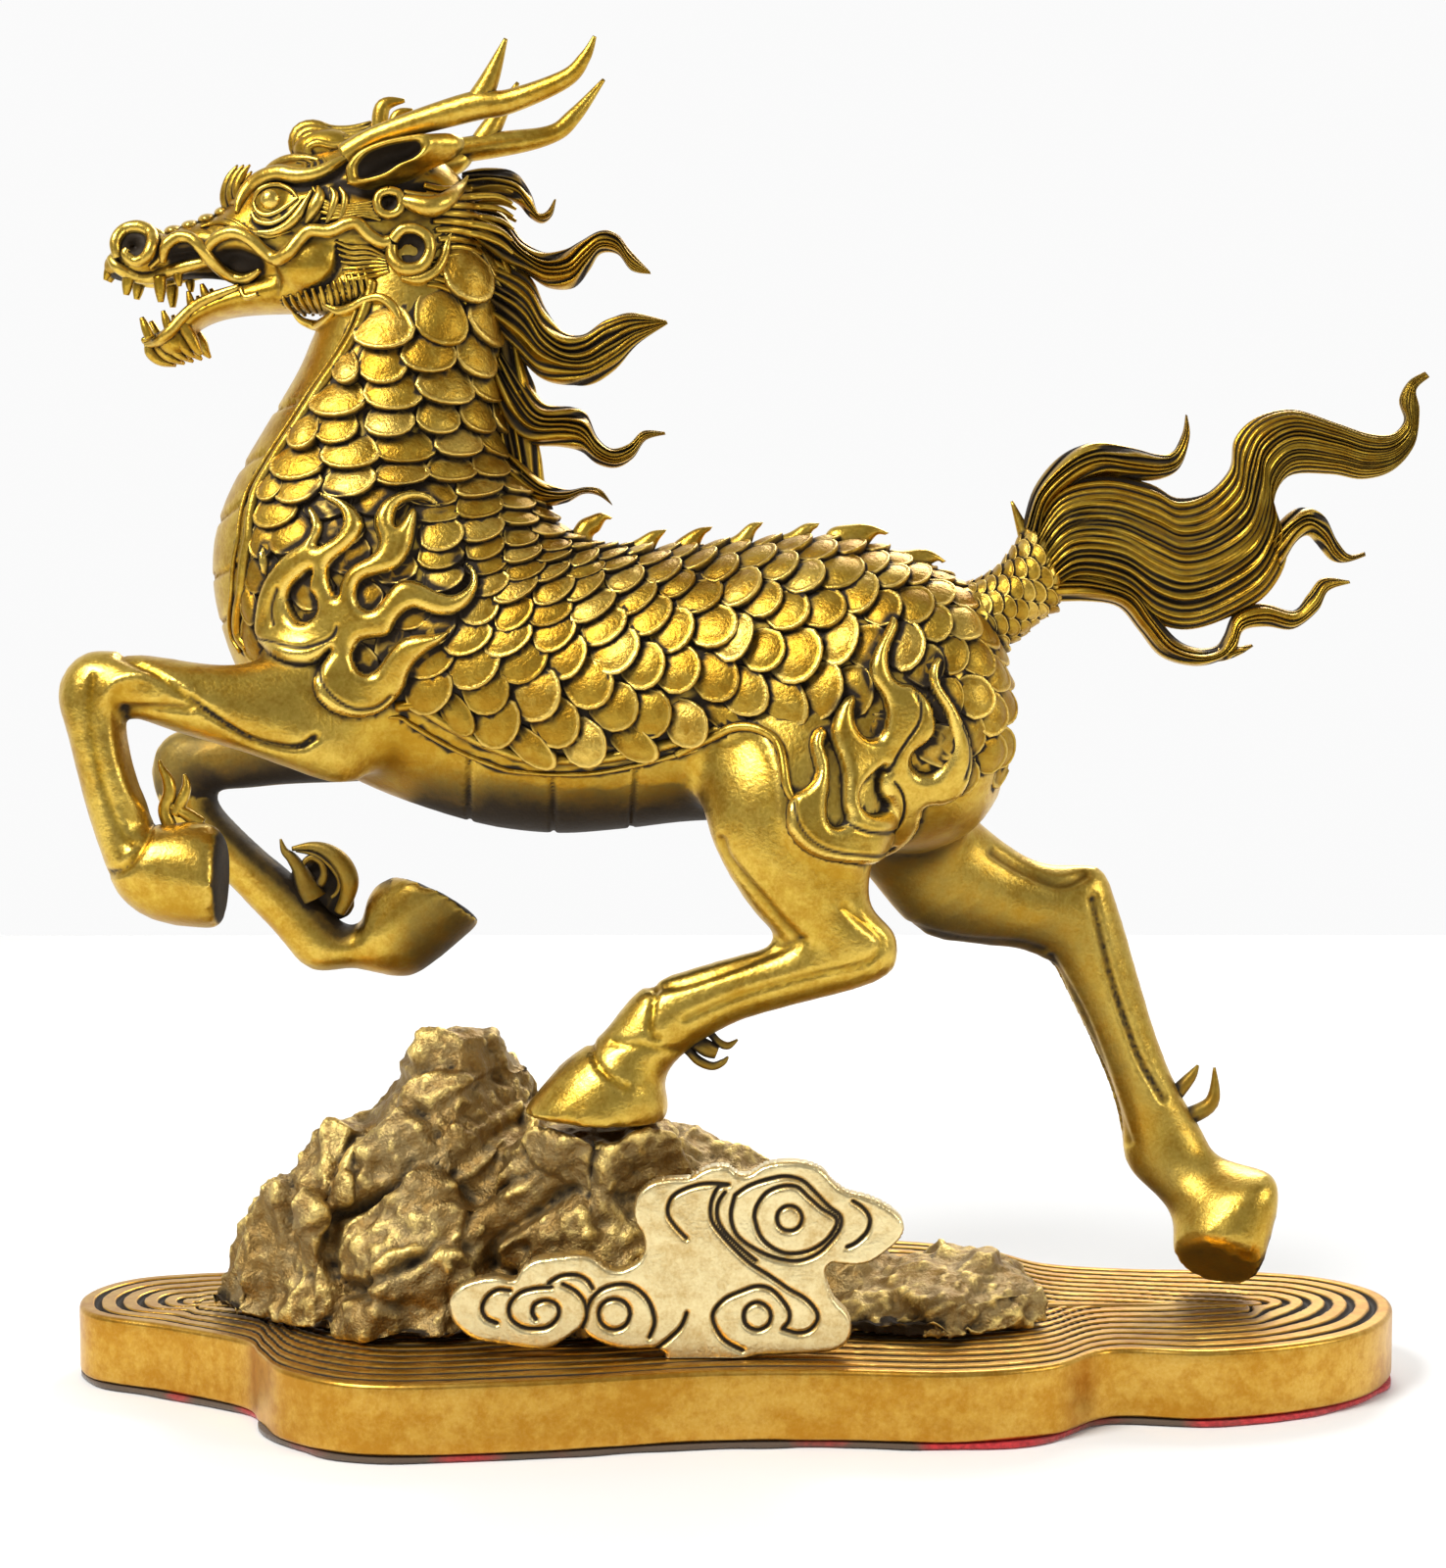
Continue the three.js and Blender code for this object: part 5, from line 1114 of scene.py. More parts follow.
# How far round from the lowest line the smooth strip reaches, from the head to the rump.
STRIP = [(0.5, 1.3), (1.5, 1.19), (2.6, 0.96), (3.6, 0.86), (4.5, 0.77), (5.5, 0.8), (6.4, 0.7), (7.1, 0.5),
         (8.3, 0.8), (9.5, 1.2), (10.9, 1.1), (11.6, 1.07), (12.8, 1.13), (14.1, 1.25), (15, 1.33),
         (16.5, 1.15), (18, 0.8), (21, 0.4)]
# How wide the scales are and how far apart their rows are, from the head to the rump.
SCALE_WIDTHS = [(0, 9.8), (2, 10.6), (5, 10), (7, 8.2), (9, 9), (12, 9.8), (18, 9.6), (21, 8)]
SCALE_PITCHES = [(0, 6.2), (3, 6.2), (4.5, 4.8), (8, 4.4), (10, 5.4), (12, 6.3), (18, 6.2), (21, 5)]
# There are no scales where the front legs join the trunk, nor where the head covers the neck.
LEG_PATCH = [(-94, 152), (-80, 146), (-74, 138), (-62, 138), (-51, 137), (-44, 131), (-56, 118), (-95, 118)]
HEAD_PATCH = [(-84.2, 241.8), (-50.5, 241.8), (-50.6, 228.1), (-57.4, 221.6), (-64.4, 218.9), (-84.5, 216.1)]
RUMP_END_X = 36
RUMP_END_Z = 124
# One scale from its middle to its edge, then the wall down into the body: reach and lift.
RINGS = [(0.35, 0), (0.6, -0.06), (0.76, -0.2), (0.84, -0.22), (0.9, -0.02), (0.95, 0.04), (0.99, -0.1),
         (1.02, -0.5), (1.0, -1.0)]
trunk_rows = sections(TRUNK, SKIN_STEPS)


def trunk_skin(station, angle, skin_rows=trunk_rows):
    stations = np.arange(len(skin_rows)) / SKIN_STEPS
    rows = [np.interp(station, stations, skin_rows[:, k]) for k in range(8)]
    return round_points(rows, angle)


def trunk_frame(station, angle, skin_rows=trunk_rows):
    """A point of a body's skin, its two tangents and the direction it faces."""
    step = SKIN_STEP
    along = trunk_skin(station + step, angle, skin_rows) - trunk_skin(station - step, angle, skin_rows)
    around = trunk_skin(station, angle + step, skin_rows) - trunk_skin(station, angle - step, skin_rows)
    along, around = along / (2 * step), around / (2 * step)
    out = np.cross(along, around)
    out /= np.maximum(np.linalg.norm(out, axis=-1), 1e-9)[..., None]
    return trunk_skin(station, angle, skin_rows), along, around, out


def across_and_ahead(along, around):
    """The lengths of the two steps, and how far a step along a station slips round the ring."""
    wide = np.maximum(np.linalg.norm(around, axis=-1), 3)
    slip = np.einsum("...k,...k->...", along, around) / wide ** 2
    straight = along - around * slip[..., None]
    return wide, np.maximum(np.linalg.norm(straight, axis=-1), 1), slip


row_stations = [0.4]
while row_stations[-1] < len(TRUNK) - 1.4:
    _, along, around, _ = trunk_frame(row_stations[-1], 1.7)
    _, ahead, _ = across_and_ahead(along, around)
    row_stations.append(row_stations[-1] + np.interp(row_stations[-1], *zip(*SCALE_PITCHES)) / ahead)
scale_spots = []
for number, station in enumerate(row_stations):
    strip = np.interp(station, *zip(*STRIP)) + 0.03
    width = np.interp(station, *zip(*SCALE_WIDTHS))
    around = np.linspace(strip, 2 * math.pi - strip, RING_STEPS)
    ring = trunk_skin(np.full(RING_STEPS, station), around)
    length = np.concatenate([[0], np.cumsum(np.linalg.norm(np.diff(ring, axis=0), axis=1))])
    count = max(int(round(length[-1] / width / 2)) * 2, 4)
    size = length[-1] / count
    for k in range(count + number % 2):
        at = (k + 0.5 * (1 - number % 2)) * size
        narrow = min(at, length[-1] - at) < 0.2 * size
        at = np.clip(at, 0.28 * size, length[-1] - 0.28 * size)
        scale_spots.append((station, np.interp(at, length, around), size * (0.6 if narrow else 1)))
scale_spots = np.array(scale_spots)
chance = np.random.default_rng(11)
jitter = np.clip(chance.normal(0, 1, (len(scale_spots), 6)), -2, 2)
pitch_ahead = np.gradient(row_stations)
spot_pitch = np.interp(scale_spots[:, 0], row_stations, pitch_ahead)
centre = trunk_skin(scale_spots[:, 0], scale_spots[:, 1])
kept = ~(inside(centre[:, 0], centre[:, 2], LEG_PATCH) & (np.abs(centre[:, 1]) > 10))
kept &= ~inside(centre[:, 0], centre[:, 2], HEAD_PATCH)
in_flame = flame_depth(centre[:, 0], centre[:, 2])
in_flame[np.abs(centre[:, 1]) <= 8] = FLAME_FAR_OFF
kept &= in_flame < 1.2
kept &= (centre[:, 2] > RUMP_END_Z) | (centre[:, 0] < RUMP_END_X)
scale_spots, jitter, spot_pitch, in_flame = (
    each[kept] for each in (scale_spots, jitter, spot_pitch, in_flame))

# One flat scale, which is laid on the skin at every spot.
turn = np.linspace(0, 2 * math.pi, SCALE_SIDES, endpoint=False)
blunt = 1 - 0.10 * np.cos(2 * turn) * (np.cos(turn) > 0)
flat_along, flat_across, flat_lift, flat_part = [], [], [], []
for reach, lift in RINGS:
    flat_along.append(np.cos(turn) * blunt * reach)
    flat_across.append(np.sin(turn) * blunt * reach)
    flat_lift.append(np.full(SCALE_SIDES, lift))
    flat_part.append(np.full(SCALE_SIDES, reach))
flat_along = np.concatenate(flat_along + [[0, 0]])
flat_across = np.concatenate(flat_across + [[0, 0]])
flat_lift = np.concatenate(flat_lift + [[0, -1]])
flat_part = np.concatenate(flat_part + [[0, 0]])
top = len(RINGS) * SCALE_SIDES
last = top - SCALE_SIDES
one_faces = np.vstack([
    band(len(RINGS), SCALE_SIDES),
    [[top, (k + 1) % SCALE_SIDES, k] for k in range(SCALE_SIDES)],
    [[top + 1, last + k, last + (k + 1) % SCALE_SIDES] for k in range(SCALE_SIDES)],
])
_, along, around, _ = trunk_frame(scale_spots[:, 0], scale_spots[:, 1])
wide_step, ahead_step, slip = across_and_ahead(along, around)
row_length = ahead_step * spot_pitch
half_long = row_length * 0.84 * (1 + jitter[:, 0] * CHANCE_SIZE)
half_wide = scale_spots[:, 2] * 0.505 * (1 + jitter[:, 1] * CHANCE_SIZE)
twist = jitter[:, 2] * CHANCE_TURN
pointed = 1 + (0.06 + jitter[:, 4:5] * 0.05) * np.clip(flat_along, 0, 1) ** 3
local_a = half_long[:, None] * flat_along * pointed
local_b = half_wide[:, None] * flat_across
ahead = local_a * np.cos(twist)[:, None] - local_b * np.sin(twist)[:, None]
beside = local_b * np.cos(twist)[:, None] + local_a * np.sin(twist)[:, None]
forward = ahead / ahead_step[:, None]
station = scale_spots[:, :1] + (jitter[:, 4] * CHANCE_SHIFT / ahead_step)[:, None] + forward
angle = scale_spots[:, 1:2] + (jitter[:, 5] * CHANCE_SHIFT / wide_step)[:, None]
angle = angle + beside / wide_step[:, None] - forward * slip[:, None]
skin_points, _, _, skin_out = trunk_frame(station, angle)
rise = (SCALE_ROOT + (SCALE_OUT - SCALE_ROOT) * np.clip(flat_along * 0.5 + 0.5, 0, 1) ** 1.2)[None, :]
rise = rise * (np.clip(row_length / SCALE_USUAL, 0.5, 1.1) * (1 + jitter[:, 3] * CHANCE_RISE))[:, None]
rise = rise * np.clip(0.3 - in_flame / 4, 0.3, 1)[:, None]
dome = SCALE_DOME * (1 - flat_part ** 2)[None, :] * np.clip(row_length / SCALE_USUAL, 0.5, 1)[:, None]
lift = np.where(flat_lift <= -1, -0.8, rise + dome + flat_lift)
scale_points = skin_points + skin_out * lift[..., None]

# The root of the tail carries rings of smaller scales, seven or so to the hair.
TAIL_SCALE_WIDE = 4.3
TAIL_SCALE_LONG = 2.5
TAIL_SCALE_OUT = 1.3
TAIL_SCALE_FIRST = 9
tail_rows = sections(TAIL_ROOT, SKIN_STEPS)
tail_middle = (tail_rows[:, :2] + tail_rows[:, 2:4]) / 2
tail_run = np.concatenate([[0], np.cumsum(np.linalg.norm(np.diff(tail_middle, axis=0), axis=1))])
tail_spots = []
for number, run in enumerate(np.arange(TAIL_SCALE_FIRST, tail_run[-1] - 2, TAIL_SCALE_LONG)):
    station = np.interp(run, tail_run, np.arange(len(tail_rows)) / SKIN_STEPS)
    ring = trunk_skin(np.full(60, station), np.linspace(0, 2 * math.pi, 60), tail_rows)
    girth = np.linalg.norm(np.diff(ring, axis=0), axis=1).sum()
    count = int(round(girth / TAIL_SCALE_WIDE))
    for k in range(count):
        tail_spots.append((station, (k + 0.5 * (number % 2)) * 2 * math.pi / count, girth / count))
tail_spots = np.array(tail_spots)
_, along, around, _ = trunk_frame(tail_spots[:, 0], tail_spots[:, 1], tail_rows)
wide_step, ahead_step, slip = across_and_ahead(along, around)
forward = TAIL_SCALE_LONG * 0.9 * flat_along[None, :] / ahead_step[:, None]
beside = tail_spots[:, 2:3] * 0.52 * flat_across[None, :] / wide_step[:, None]
skin_points, _, _, skin_out = trunk_frame(
    tail_spots[:, :1] + forward, tail_spots[:, 1:2] + beside - forward * slip[:, None], tail_rows)
rise = TAIL_SCALE_OUT * (flat_along * 0.5 + 0.5) + 0.25 * (1 - flat_part ** 2) + flat_lift * 0.6
lift = np.where(flat_lift <= -1, -0.6, rise)
scale_points = np.concatenate([scale_points, skin_points + skin_out * lift[None, :, None]])
jitter = np.concatenate([jitter, np.clip(chance.normal(0, 1, (len(tail_spots), 6)), -2, 2)])
scale_count = len(scale_points)
scale_faces = np.concatenate([one_faces[:, ::-1] + k * len(flat_part) for k in range(scale_count)])
scale_points = scale_points.reshape(-1, 3)
by_flame = flame_depth(scale_points[:, 0], scale_points[:, 2]) * (np.abs(scale_points[:, 1]) > 8)
scale_rim = np.tile(np.exp(-((flat_part - 0.93) / 0.06) ** 2) * (flat_lift > -0.3), scale_count)
# Painted shade at each scale's root, under the row before, and down its wall into the gaps; a faint ring
# inside the rim.
scale_gap_shade = np.tile(np.exp(-((flat_part - 0.8) / 0.08) ** 2) * 0.2 + (flat_lift <= -1) * 1.0
                      + (flat_lift == -0.5) * 0.45 + np.clip(-flat_along, 0, 1) * 0.5, scale_count)
scale_tone = np.repeat(jitter[:, 3] * 0.2, len(flat_part))

# Rib and beads, cast on the body. A rib runs from the belly over the top of the hind leg, and a double
# bead borders the smooth strip, from the jaw to the breast and under the belly.
BEAD_STEPS = 30
BEAD_STRETCHES = ((0.6, 7.4), (9.3, 15.4))
# The rib in side view: x, z and radius.
THIGH_RIB = [
    (-9.1, 130.6, 0.76), (-6.1, 132.3, 0.86), (-1.7, 134.4, 0.86), (1.5, 136, 0.86), (4.6, 136.4, 0.86),
     (7.4, 135.8, 0.86), (9.9, 134.3, 0.86), (11.2, 132, 0.86), (11.8, 128.7, 0.86), (12.2, 125.7,
     0.86), (13.3, 123, 0.76), (15.3, 121.1, 0.57),
]


def laid(line, tree, lift):
    """A line of [x, z, radius] laid on the near side of a body, as [x, y, z, radius]."""
    line = smooth_rows(line, 4)
    spots = [tree.ray_cast((x, -90, z), (0, 1, 0))[0] for x, z, radius in line]
    hit = [k for k, spot in enumerate(spots) if spot]
    y = np.interp(np.arange(len(line)), hit, [spots[k].y for k in hit]) - line[:, 2] * lift
    for _ in range(3):
        y[1:-1] = (y[:-2] + 2 * y[1:-1] + y[2:]) / 4
    return np.column_stack([line[:, 0], y, line[:, 1:]])


thigh_rib = rod(laid(THIGH_RIB, core_tree, 0.6), 12, 2)
trimmings += [thigh_rib, other_side(thigh_rib)]
for first, last in BEAD_STRETCHES:
    at = np.linspace(first, last, BEAD_STEPS)
    for offset, radius in ((0.0, 1.1), (-0.12, 0.5)):
        angle = np.interp(at, *zip(*STRIP)) + offset
        path, _, _, path_out = trunk_frame(at, angle)
        bead = rod(np.column_stack([path + path_out * 0.05, np.full(BEAD_STEPS, radius)]), 10, 3)
        trimmings += [bead, other_side(bead)]

trim_points, trim_faces = joined(trimmings)

# Finish of body, flames, fins and scales. They are one casting, so the painted shade on each is cast
# by all the others. The brass is painted darker in the hollows as shade and patina, the soles keep
# their dark patina, and the far legs, the insides of the legs and the keel are painted darker as shade.
HOOF_REACH = 15
# The sole of each hoof: its middle x, y, z, and the direction x, z that it faces.
SOLES = [(-97.8, -26, 106, 1, 0.1), (-58, 22, 95, 0.75, 0.65), (109, 12, 33, 0.6, -0.8)]
FAR_FRONT_HOOF = (-58, 22, 93)

body_solids = joined([(core_points, core_faces), (trim_points, trim_faces), (scale_points, scale_faces),
                      (flame_points, flame_faces)])
horse_brass = brass("horse_brass", (.02, .011, .003, 1), (.53, .335, .036, 1), (.90, .64, .14, 1),
                    rough=0.33, pits=0.25, mottled=0.25)
core_sharp = sharpness(core_points, core_faces)
core_out = facing(core_points, core_faces)
# Painted shade: the undersides are darker and less rubbed.
underside_shade = np.clip(-core_out[:, 2], 0, 1)
sole = np.zeros(len(core_points))
for x, y, z, out_x, out_z in SOLES:
    faces_out = core_out[:, 0] * out_x + core_out[:, 2] * out_z
    near_sole = np.linalg.norm(core_points - [x, y, z], axis=1) < HOOF_REACH
    sole = np.maximum(sole, near_sole * np.clip(faces_out * 4 - 2.6, 0, 1))
x, y, z = core_points.T
# Painted shade on the far front leg below the trunk, most on its upper faces.
far_leg_shade = 0.7 * (y > 8) * (x < -70) * (z < 122)
far_leg_shade = far_leg_shade * np.clip(core_out[:, 2] * 1.3 + core_out[:, 0] + 0.1, 0, 1)
# Painted shade on the faces of the legs that turn in, and round the far front hoof.
facing_in = np.clip(-2 * core_out[:, 1] * np.sign(y), 0, 1) * (np.abs(y) > 3)
inner_and_hoof_shade = facing_in * (0.3 * (x > 0) * (z < 128) + 0.55 * (x < -60) * (z > 119) * (z < 136))
from_hoof = np.linalg.norm(core_points - FAR_FRONT_HOOF, axis=1)
inner_and_hoof_shade = np.maximum(inner_and_hoof_shade, 0.38 * np.clip((18 - from_hoof) / 6, 0, 1))
# Painted shade under the belly, between the legs.
belly_shade = 0.5 * np.clip((130 - z) / 12, 0, 1) * np.clip((x + 66) / 6, 0, 1)
belly_shade = belly_shade * np.clip((4 - x) / 6, 0, 1) * (z > 104) * (np.abs(y) < 19)
# Real patina on the soles and in the cut lines, with the painted shade of far legs, inner sides and belly.
patina_and_painted_shade = sole * 0.8 + np.clip(core_cut, 0, 1) * 0.25 + far_leg_shade + inner_and_hoof_shade + belly_shade
# Painted shade where the casting shuts off the sky, and in the creases.
core_shade = shade_of(core_points, core_faces, body_solids, 4)
new_piece("horse_body", core_points, core_faces, horse_brass, "figure_brass", "dragon_horse", {
    "hollow": core_shade * 1.5 - core_sharp + underside_shade * 0.4 + patina_and_painted_shade,
    "edge": core_sharp * 2.5 + 0.15,
    "tone": 0.2 - underside_shade * 0.4 - sole * 0.5,
})

# Painted shade where the casting shuts off the sky and along each flame's foot; patina in its cut lines.
flame_shade = shade_of(flame_points, flame_faces, body_solids, 3)
flame_foot_shade = np.exp(-(np.maximum(flame_deep, 0) / 0.3) ** 2)
new_piece("horse_flames", flame_points, flame_faces, horse_brass, "figure_brass", "dragon_horse", {
    "hollow": flame_shade + flame_foot_shade * 0.6 + flame_cut * 1.4,
    "edge": 0.25 + np.exp(-((flame_deep - 0.9) / 0.45) ** 2) * 0.5,
    "tone": 0.1,
})

# Painted shade on the curls of the far side and on those low down, with shade where the sky is shut off.
trim_shade = (trim_points[:, 1] > 12) & (trim_points[:, 2] < 130) | (trim_points[:, 2] < 85)
new_piece("horse_fins_and_curls", trim_points, trim_faces, horse_brass, "figure_brass", "dragon_horse", {
    "hollow": shade_of(trim_points, trim_faces, body_solids, 4) + 0.42 * trim_shade,
    "edge": 0.3,
    "tone": -0.1 * trim_shade,
})

scale_brass = brass("scale_brass", (.02, .011, .003, 1), (.46, .285, .034, 1), (.86, .60, .14, 1),
                    rough=0.41, pits=0.55, mottled=0.6)
# Painted shade where scales and body shut off the sky, and beside the edges of the flames.
scale_shade = shade_of(scale_points, scale_faces, body_solids, 3.5)
flame_edge_shade = np.exp(-(by_flame / 1.2) ** 2) * (by_flame < 0)
new_piece("horse_scales", scale_points, scale_faces, scale_brass, "figure_brass", "dragon_horse", {
    "hollow": np.maximum(scale_shade * 1.8, scale_gap_shade) + 0.8 * flame_edge_shade,
    "edge": scale_rim * 0.7 + 0.1,
    "tone": scale_tone,
})

# Head. A dragon's head on the horse's neck, with its mouth open, cast with the rest. Brows, lids, nose,
# whiskers, teeth, antlers and locks stand out as round bars, with hollows between them painted dark as
# shade.
HEAD_VOXEL = 0.4
HEAD_FACES = 184000
SKULL = [
    [-124.5, 226, -124, 229, 0, 3],
    [-121, 224.5, -121, 232, 0, 6],
    [-116, 224.5, -116, 232.5, 0, 8],
    [-109, 225, -109.5, 235, 0, 8.5],
    [-102, 225, -101.5, 237.5, 0, 9],
    [-95.5, 223.5, -96.5, 242, 0, 10.5],
    [-87.5, 221, -89, 248, 0, 12],
    [-78.5, 219.5, -80, 251, 0, 13],
    [-69.5, 219, -71, 253, 0, 13],
    [-62, 220.5, -61, 251, 0, 12.5],
    [-55, 225, -53, 245.5, 0, 11],
    [-50.5, 231, -49, 238.5, 0, 7],
]
JAW = [
    [-117.5, 212, -117.5, 213.5, 0, 2],
    [-113, 211.5, -113.5, 214.5, 0, 3.5],
    [-108.5, 213, -109.5, 217, 0, 5.5],
    [-103.5, 216, -104.5, 220.5, 0, 7],
    [-97.5, 217.5, -98.5, 223.5, 0, 8],
    [-88.5, 218, -89.5, 227, 0, 9.5],
    [-80, 217.5, -81, 229.5, 0, 11],
    [-76, 211, -74, 224, 0, 10],
]
# Balls on either side that nostril, cheek, eye, the two curls, the corner of the jaw and the chin are
# raised on: x, y, z, and the radius along x, y and z.
HEAD_BALLS = [
    (-117.2, -4.6, 230.6, 4.4, 4, 4.2),
    (-81.8, -8.5, 227.3, 7.2, 5.4, 6.2),
    (-89, -8, 239.5, 4.6, 4.4, 4),
    (-61.2, -9.5, 229.6, 5, 4.6, 5),
    (-65.7, -9.8, 238.7, 3.6, 3.8, 3.6),
    (-72, -9, 223, 7, 4.4, 4),
    (-110, -2.6, 212.6, 3.6, 3, 3.2),
]
CROWN = (-79, -2, 250.5, 7, 4, 4)
EYEBALL = (-89.2, -11.4, 239.5, 2.1, 1.7, 2.1)
# Bumps along the bridge of the nose: x and z.
NOSE_BUMPS = [(-110, 234.2), (-106.6, 235.2), (-103.2, 236.5), (-99.9, 237.9), (-97, 239.2)]
# Antlers, each from root to tip: x, y, z and radius.
ANTLERS = {
    "nearBeam": [
        [-75, -8, 248.5, 2.4],
        [-67.5, -9, 252.5, 2.2],
        [-50, -11, 257.5, 2.9],
        [-42, -12, 258.5, 2.4],
        [-31, -14, 262.5, 1.8],
        [-27, -15, 266.5, 1.2],
        [-25, -15.5, 270.5, 0.4],
    ],
    "nearProng": [
        [-50, -11, 257, 2],
        [-46.5, -11.5, 261.5, 2.1],
        [-42.5, -13, 270.5, 0.4],
    ],
    "farBeam": [
        [-72, 8, 249, 2.2],
        [-47.5, 11, 253, 2.6],
        [-35.5, 13, 255.5, 1.9],
        [-30.5, 14, 259.5, 1.6],
        [-24.5, 15.5, 267, 0.4],
    ],
    "farProng": [
        [-50.5, 11, 252.5, 2],
        [-47.5, 11.5, 256.5, 2.2],
        [-42, 13, 266, 0.4],
    ],
    "nearCurl": [
        [-68.5, -3, 250, 1.6],
        [-68, -3, 258.5, 1.6],
        [-63.5, -3, 260, 0.4],
    ],
    "farCurl": [
        [-67, 3, 250, 1.4],
        [-66, 3, 257.5, 1.2],
        [-62.5, 3, 259, 0.4],
    ],
}
# Bars on either side of the head: how far they stand out, and their points [x, z, radius].
HEAD_LINES = [
    (.5, [(-122.2, 228.7, .83), (-120.6, 226.9, 1.23), (-117.7, 225.2, 1.23), (-114.4, 225, 1.37), (-110.5,
     226, 1.37), (-105.6, 227.1, 1.23), (-101.9, 227.9, .83)]),
    (1.1, [(-111.1, 227.7, .68), (-110.3, 230.8, 1.23), (-107.9, 232.5, 1.23), (-105.2, 232.1, 1.23),
     (-103.1, 230, 1.23), (-101, 227.3, 1.23), (-98.5, 225.2, 1.23), (-95.2, 224.4, 1.13), (-91.9, 226,
     .45)]),
    (.9, [(-103, 227.5, .66), (-101.8, 230.6, 1.10), (-99.4, 232.5, 1.31), (-96.2, 233.1, 1.31), (-93.1,
     231.7, 1.31), (-90.4, 229.2, 1.31), (-87.9, 227.9, 1.42), (-85.4, 229, 1.31), (-83.4, 231.5, 1.31),
     (-81.1, 233.2, 1.31), (-77.2, 233.1, 1.31), (-74.1, 234.4, 1.31), (-71.8, 234.6, 1.31), (-69.7,
     232.5, 1.31), (-67.2, 231, 1.31), (-65.3, 231.3, 1.20)]),
    (1, [(-65.2, 230.5, 1.10), (-65, 227.8, 1.31), (-62.7, 225.7, 1.42), (-59.4, 226.3, 1.31), (-57.7,
     228.9, 1.10), (-58, 231.8, 1.10), (-60.1, 233.5, 1.10), (-63, 233.5, 1.10), (-65, 231.4, 1.10)]),
    (.8, [(-63.3, 224.2, .65), (-59.8, 223.8, 1.08), (-56.7, 225.5, 1.08), (-55.2, 228.2, .97), (-54.6,
     230.7, .75), (-53.8, 233.3, .22)]),
    (1, [(-120.4, 228.7, .90), (-120.8, 231.6, 1.13), (-119.4, 234.1, 1.23), (-116.6, 234.8, 1.35),
     (-114.1, 233.7, 1.35), (-113.2, 231.2, 1.35), (-114.2, 228.7, 1.23), (-116.5, 227.7, 1.13), (-118.5,
     229.1, .90), (-118.1, 230.2, .56)]),
    (.5, [(-112.3, 233.2, .49), (-110.9, 231.1, .62), (-111.6, 228.6, .62), (-113.9, 226.7, .49)]),
    (.3, [(-93, 238.6, .29), (-91.8, 241.1, .47), (-89.9, 242.2, .47), (-87.4, 242.4, .47), (-85.1,
     241.3, .47), (-83.9, 239.9, .31)]),
    (.3, [(-92.8, 239.5, .29), (-92, 237.4, .43), (-90.1, 236.5, .43), (-87.8, 237.1, .43), (-85.7,
     238.4, .43), (-83.7, 239.9, .29)]),
    (.3, [(-93.2, 237.6, .23), (-92.1, 235.5, .47), (-89.4, 234.8, .47), (-86.7, 235.7, .47), (-84.5,
     237.6, .47), (-83, 239.5, .23)]),
    (.5, [(-96.3, 237.2, .45), (-95.7, 239.7, 1.13), (-94.2, 242.2, 1.58), (-91.4, 244.1, 1.79), (-87.7,
     244.9, 1.79), (-84.1, 244.3, 1.58), (-80.4, 244.7, 1.35), (-76.9, 246.4, 1.13), (-73.8, 248.5,
     .68)]),
    (.3, [(-92.4, 245.9, .39), (-90, 247.3, .98), (-86.5, 248.2, 1.07), (-83, 248.2, .78), (-80.1,
     247.7, .39)]),
    (.5, [(-95.8, 239.3, .78), (-97.7, 239.7, .68), (-98.5, 241.2, .49), (-97.5, 242.8, .2)]),
    (.2, [(-91.9, 233.2, .39), (-88.8, 233.1, .78), (-85.7, 234.4, .98), (-83.4, 236.7, .98), (-82,
     239.2, .68), (-81, 241.3, .29)]),
    (.3, [(-82, 234.7, .39), (-80.6, 237.4, 1.17), (-79.4, 240, 1.17), (-79.8, 242, .39)]),
    (.3, [(-77.9, 234.7, .39), (-76.9, 237.4, .78), (-76.3, 240, .78), (-77.3, 241.8, .29)]),
    (.3, [(-75.6, 234.7, .39), (-74.6, 237.6, .68), (-74.4, 240, .68), (-75.5, 241.8, .29)]),
    (.7, [(-65.7, 241.1, .90), (-67.4, 240.4, .90), (-68, 238.7, .90), (-67.2, 236.9, .90), (-65.5,
     236.4, .90), (-63.8, 237.1, .90), (-63.2, 238.9, .90), (-63.9, 240.6, .90), (-65.7, 241.1, .90)]),
    (.7, [(-62.8, 239.2, 1.17), (-60.5, 238.5, 1.76), (-57.4, 237.9, 2.15), (-54.5, 239.4, 1.76),
     (-52.4, 241.9, 1.17), (-50.8, 244.9, .20)]),
    (.7, [(-62.8, 240.8, .59), (-60.1, 240.2, .78), (-57, 240.2, .59)]),
    (.5, [(-116.2, 211.8, .56), (-113.3, 212.3, 1.01), (-110.5, 214.1, 1.23), (-108.3, 216.6, 1.23),
     (-105.4, 219.1, 1.23), (-101.4, 221, 1.13), (-96.3, 222.8, .68)]),
    (.2, [(-96, 222.6, .49), (-94.9, 220.7, .59), (-92.5, 221.3, .49)]),
    (.5, [(-86.4, 218.4, .29), (-84.5, 216.5, .78), (-81.4, 215.7, .98), (-78.7, 216.7, .78), (-76.9,
     218.2, .39)]),
    (.7, [(-79.3, 219.3, .39), (-76.2, 217.9, .88), (-73.5, 218.3, .98), (-70.8, 219.7, .88), (-67.7,
     220.2, .98), (-65.4, 218.9, .98), (-64.1, 216.8, .78), (-63.7, 214.5, .29)]),
]
